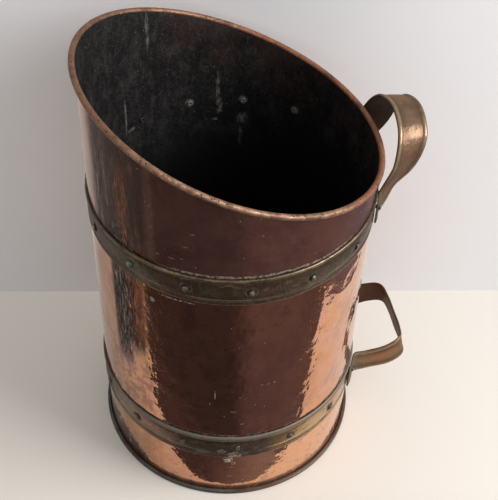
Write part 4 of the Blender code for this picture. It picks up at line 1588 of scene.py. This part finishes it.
class SCUTTLE_OT_handles(bpy.types.Operator):
    """Builds the two beaded brass strap handles"""

    bl_idname = "scuttle.handles"
    bl_label = "Handles"

    def execute(self, context):
        sizes, colours = context.scene.scuttle_sizes, context.scene.scuttle_colours
        for name, _, height, turned_by in bands(sizes):
            handle = f"{name}_strap_handle"
            mesh = strap_mesh(handle, sizes, height, turned_by, STRAPS[name])
            metal = strap_brass(f"worn_brass_{name}_strap", colours, STRAP_LOOKS[name])
            mesh.materials.append(metal)
            piece = add_piece(handle, mesh, f"{name}_handle_brass", f"{name}_handle")
            rounded = piece.modifiers.new("Rounded", "SUBSURF")
            rounded.levels = rounded.render_levels = 1
        return {"FINISHED"}


# The stage. The camera is fitted to the photograph. The table's front edge passes close in front
# of the foot, and the dark room beyond it shows only as a reflection in the copper, as does what
# lies past the table's right end.
CAMERA_PLACE = (-0.14009, -0.72750, 1.00733)
CAMERA_TURN = (44.1689, -1.6580, -10.6920)
CAMERA_LENS = 73.008
CAMERA_CLIP = (0.05, 50.0)
WALL_FOOT = (0.0, 0.163)
WALL_TURN = -9.0
EDGE_DISTANCE = 0.1485
EDGE_TURN = -7.8
SHEET_RISE = 0.0002
TABLE_REACH = 6
BACKDROP_REACH = 3
STAGE_ROUGHNESS = 0.7
WINDOW_PLACE = (1.35, -0.75, 1.40)
WINDOW_TARGET = (0, 0, 0.2)
WINDOW_SIZE = 1.1
WINDOW_WATTS = 34.0
ROOM_COLOUR = (1.0, 0.99, 0.97, 1.0)
ROOM_STRENGTH = 0.57


class DarkSheet(NamedTuple):
    """A sheet seen only in reflections, from left to right along the table's front edge and from
    near to far across it, with one tone or two.

    Two tones meet at step_x along X, over step_reach either way at the table's edge.
    """

    name: str
    left: float
    right: float
    near: float
    far: float
    tones: tuple
    step_x: float = 0.0
    step_reach: float = 0.0


# How much wider the step between two tones gets with each metre away from the table's edge.
STEP_SPREAD = 0.30
DARK_SHEETS = (
    DarkSheet(
        "by_table_edge", -1.5, 0.075, EDGE_DISTANCE, 0.205, ("4A4244", "8A7E80"), -0.020, 0.060
    ),
    DarkSheet("by_table_edge_right", 0.075, 1.5, EDGE_DISTANCE, 0.205, ("695F63",)),
    DarkSheet("dark_room", -1.5, 1.5, 0.205, 2.65, ("3F3A3C", "695F63"), -0.002, 0.004),
    DarkSheet("past_table_end", 0.355, 1.5, -0.40, EDGE_DISTANCE, ("7C7278",)),
)


def flat_sheet(name, corners, material):
    mesh = bpy.data.meshes.new(name)
    mesh.from_pydata(corners, [], [range(len(corners))])
    mesh.materials.append(material)
    sheet = bpy.data.objects.new(name, mesh)
    bpy.context.scene.collection.objects.link(sheet)
    return sheet


def matte(name, tone):
    """A plain matt stage colour."""
    material = new_material(name)
    shader = material.node_tree.nodes["Principled BSDF"]
    plug(material.node_tree, shader, {"Base Color": tone, "Roughness": STAGE_ROUGHNESS})
    return material


def dark_glow(sheet):
    """A flat glow that lights nothing, in one tone or going from its left to its right tone."""
    material = new_material(sheet.name)
    tree = material.node_tree
    tone = linear(sheet.tones[0])
    if len(sheet.tones) == 2:
        place = add_node(tree, "ShaderNodeTexCoord")["Object"]
        parts = add_node(tree, "ShaderNodeSeparateXYZ", {0: place})
        spread = {0: parts[1], 1: -STEP_SPREAD, 2: sheet.step_reach - STEP_SPREAD * EDGE_DISTANCE}
        spread = add_node(tree, "ShaderNodeMath", spread, operation="MULTIPLY_ADD")[0]
        off = {0: parts[0], 1: -sheet.step_x}
        off = add_node(tree, "ShaderNodeMath", off, operation="ADD")[0]
        across = {0: off, 1: spread}
        across = add_node(tree, "ShaderNodeMath", across, operation="DIVIDE")[0]
        ramp = {"Value": across, "From Min": -1.0, "From Max": 1.0}
        share = add_node(tree, "ShaderNodeMapRange", ramp, interpolation_type=SMOOTH)[0]
        mix = {0: share, 6: tone, 7: linear(sheet.tones[1])}
        tone = add_node(tree, "ShaderNodeMix", mix, data_type="RGBA")[2]
    light = add_node(tree, "ShaderNodeEmission", {"Color": tone, "Strength": 1.0})[0]
    tree.links.new(light, tree.nodes["Material Output"].inputs[0])
    tree.nodes.remove(tree.nodes["Principled BSDF"])
    return material


def open_behind(material):
    """Lets the camera see through a sheet from its back, so that no view is blocked."""
    tree = material.node_tree
    behind = add_node(tree, "ShaderNodeNewGeometry")["Backfacing"]
    clear = add_node(tree, "ShaderNodeBsdfTransparent")[0]
    shaded = tree.nodes["Principled BSDF"].outputs[0]
    mixed = add_node(tree, "ShaderNodeMixShader", {0: behind, 1: shaded, 2: clear})[0]
    tree.links.new(mixed, tree.nodes["Material Output"].inputs[0])


def soft_light(name, place, target, size, watts):
    data = bpy.data.lights.new(name, "AREA")
    data.shape = "SQUARE"
    data.size = size
    data.energy = watts
    light = bpy.data.objects.new(name, data)
    bpy.context.scene.collection.objects.link(light)
    light.location = place
    light.rotation_mode = "QUATERNION"
    direction = Vector(target) - Vector(place)
    light.rotation_quaternion = direction.to_track_quat("-Z", "Y")


class SCUTTLE_OT_stage(bpy.types.Operator):
    """Builds the pale table and wall, the lights and the camera"""

    bl_idname = "scuttle.stage"
    bl_label = "Stage"

    def execute(self, context):
        colours = context.scene.scuttle_colours
        scene = context.scene
        floor = matte("matt_table_top", tuple(colours.floor))
        ends = ((-1, -1, 0), (1, -1, 0), (1, 1, 0), (-1, 1, 0))
        flat_sheet("table", [Vector(end) * TABLE_REACH for end in ends], floor)

        angle = math.radians(WALL_TURN)
        along = Vector((math.cos(angle), math.sin(angle), 0)) * BACKDROP_REACH
        foot, up = Vector((*WALL_FOOT, 0)), Vector((0, 0, BACKDROP_REACH))
        plaster = matte("matt_wall", tuple(colours.wall))
        open_behind(plaster)
        corners = [foot - along, foot + along, foot + along + up, foot - along + up]
        wall = flat_sheet("backdrop", corners, plaster)
        wall.visible_glossy = wall.visible_diffuse = wall.visible_shadow = False

        angle = math.radians(EDGE_TURN)
        along = Vector((math.cos(angle), math.sin(angle), 0))
        away = Vector((math.sin(angle), -math.cos(angle), 0))
        rise = Vector((0, 0, SHEET_RISE))
        for dark in DARK_SHEETS:
            left, right = along * dark.left, along * dark.right
            near, far = away * dark.near + rise, away * dark.far + rise
            corners = [left + near, right + near, right + far, left + far]
            sheet = flat_sheet(dark.name, corners, dark_glow(dark))
            sheet.visible_camera = sheet.visible_diffuse = False
            sheet.visible_shadow = sheet.visible_transmission = False

        soft_light("window", WINDOW_PLACE, WINDOW_TARGET, WINDOW_SIZE, WINDOW_WATTS)

        world = bpy.data.worlds.new("studio")
        scene.world = world
        world.use_nodes = True
        room = world.node_tree.nodes["Background"]
        plug(world.node_tree, room, {"Color": ROOM_COLOUR, "Strength": ROOM_STRENGTH})

        data = bpy.data.cameras.new("camera")
        data.lens = CAMERA_LENS
        data.clip_start, data.clip_end = CAMERA_CLIP
        camera = bpy.data.objects.new("camera", data)
        scene.collection.objects.link(camera)
        camera.location = CAMERA_PLACE
        camera.rotation_euler = [math.radians(a) for a in CAMERA_TURN]
        scene.camera = camera
        scene.view_settings.view_transform = "Standard"
        return {"FINISHED"}


OPERATORS = (
    SCUTTLE_OT_body,
    SCUTTLE_OT_base,
    SCUTTLE_OT_wire,
    SCUTTLE_OT_bands,
    SCUTTLE_OT_rivets,
    SCUTTLE_OT_handles,
    SCUTTLE_OT_stage,
)


class SCUTTLE_PT_panel(bpy.types.Panel):
    """Lists what builds the scuttle, in order"""

    bl_label = "Coal scuttle"
    bl_space_type = "VIEW_3D"
    bl_region_type = "UI"
    bl_category = "Scuttle"

    def draw(self, context):
        for operator in OPERATORS:
            self.layout.operator(operator.bl_idname)


CLASSES = (ScuttleSizes, ScuttleColours, *OPERATORS, SCUTTLE_PT_panel)


def register():
    for cls in CLASSES:
        bpy.utils.register_class(cls)
    bpy.types.Scene.scuttle_sizes = bpy.props.PointerProperty(type=ScuttleSizes)
    bpy.types.Scene.scuttle_colours = bpy.props.PointerProperty(type=ScuttleColours)


def unregister():
    del bpy.types.Scene.scuttle_colours
    del bpy.types.Scene.scuttle_sizes
    for cls in reversed(CLASSES):
        bpy.utils.unregister_class(cls)


def main():
    register()
    bpy.ops.scuttle.body()
    bpy.ops.scuttle.base()
    bpy.ops.scuttle.wire()
    bpy.ops.scuttle.bands()
    bpy.ops.scuttle.rivets()
    bpy.ops.scuttle.handles()
    bpy.ops.scuttle.stage()


if __name__ == "__main__":
    main()
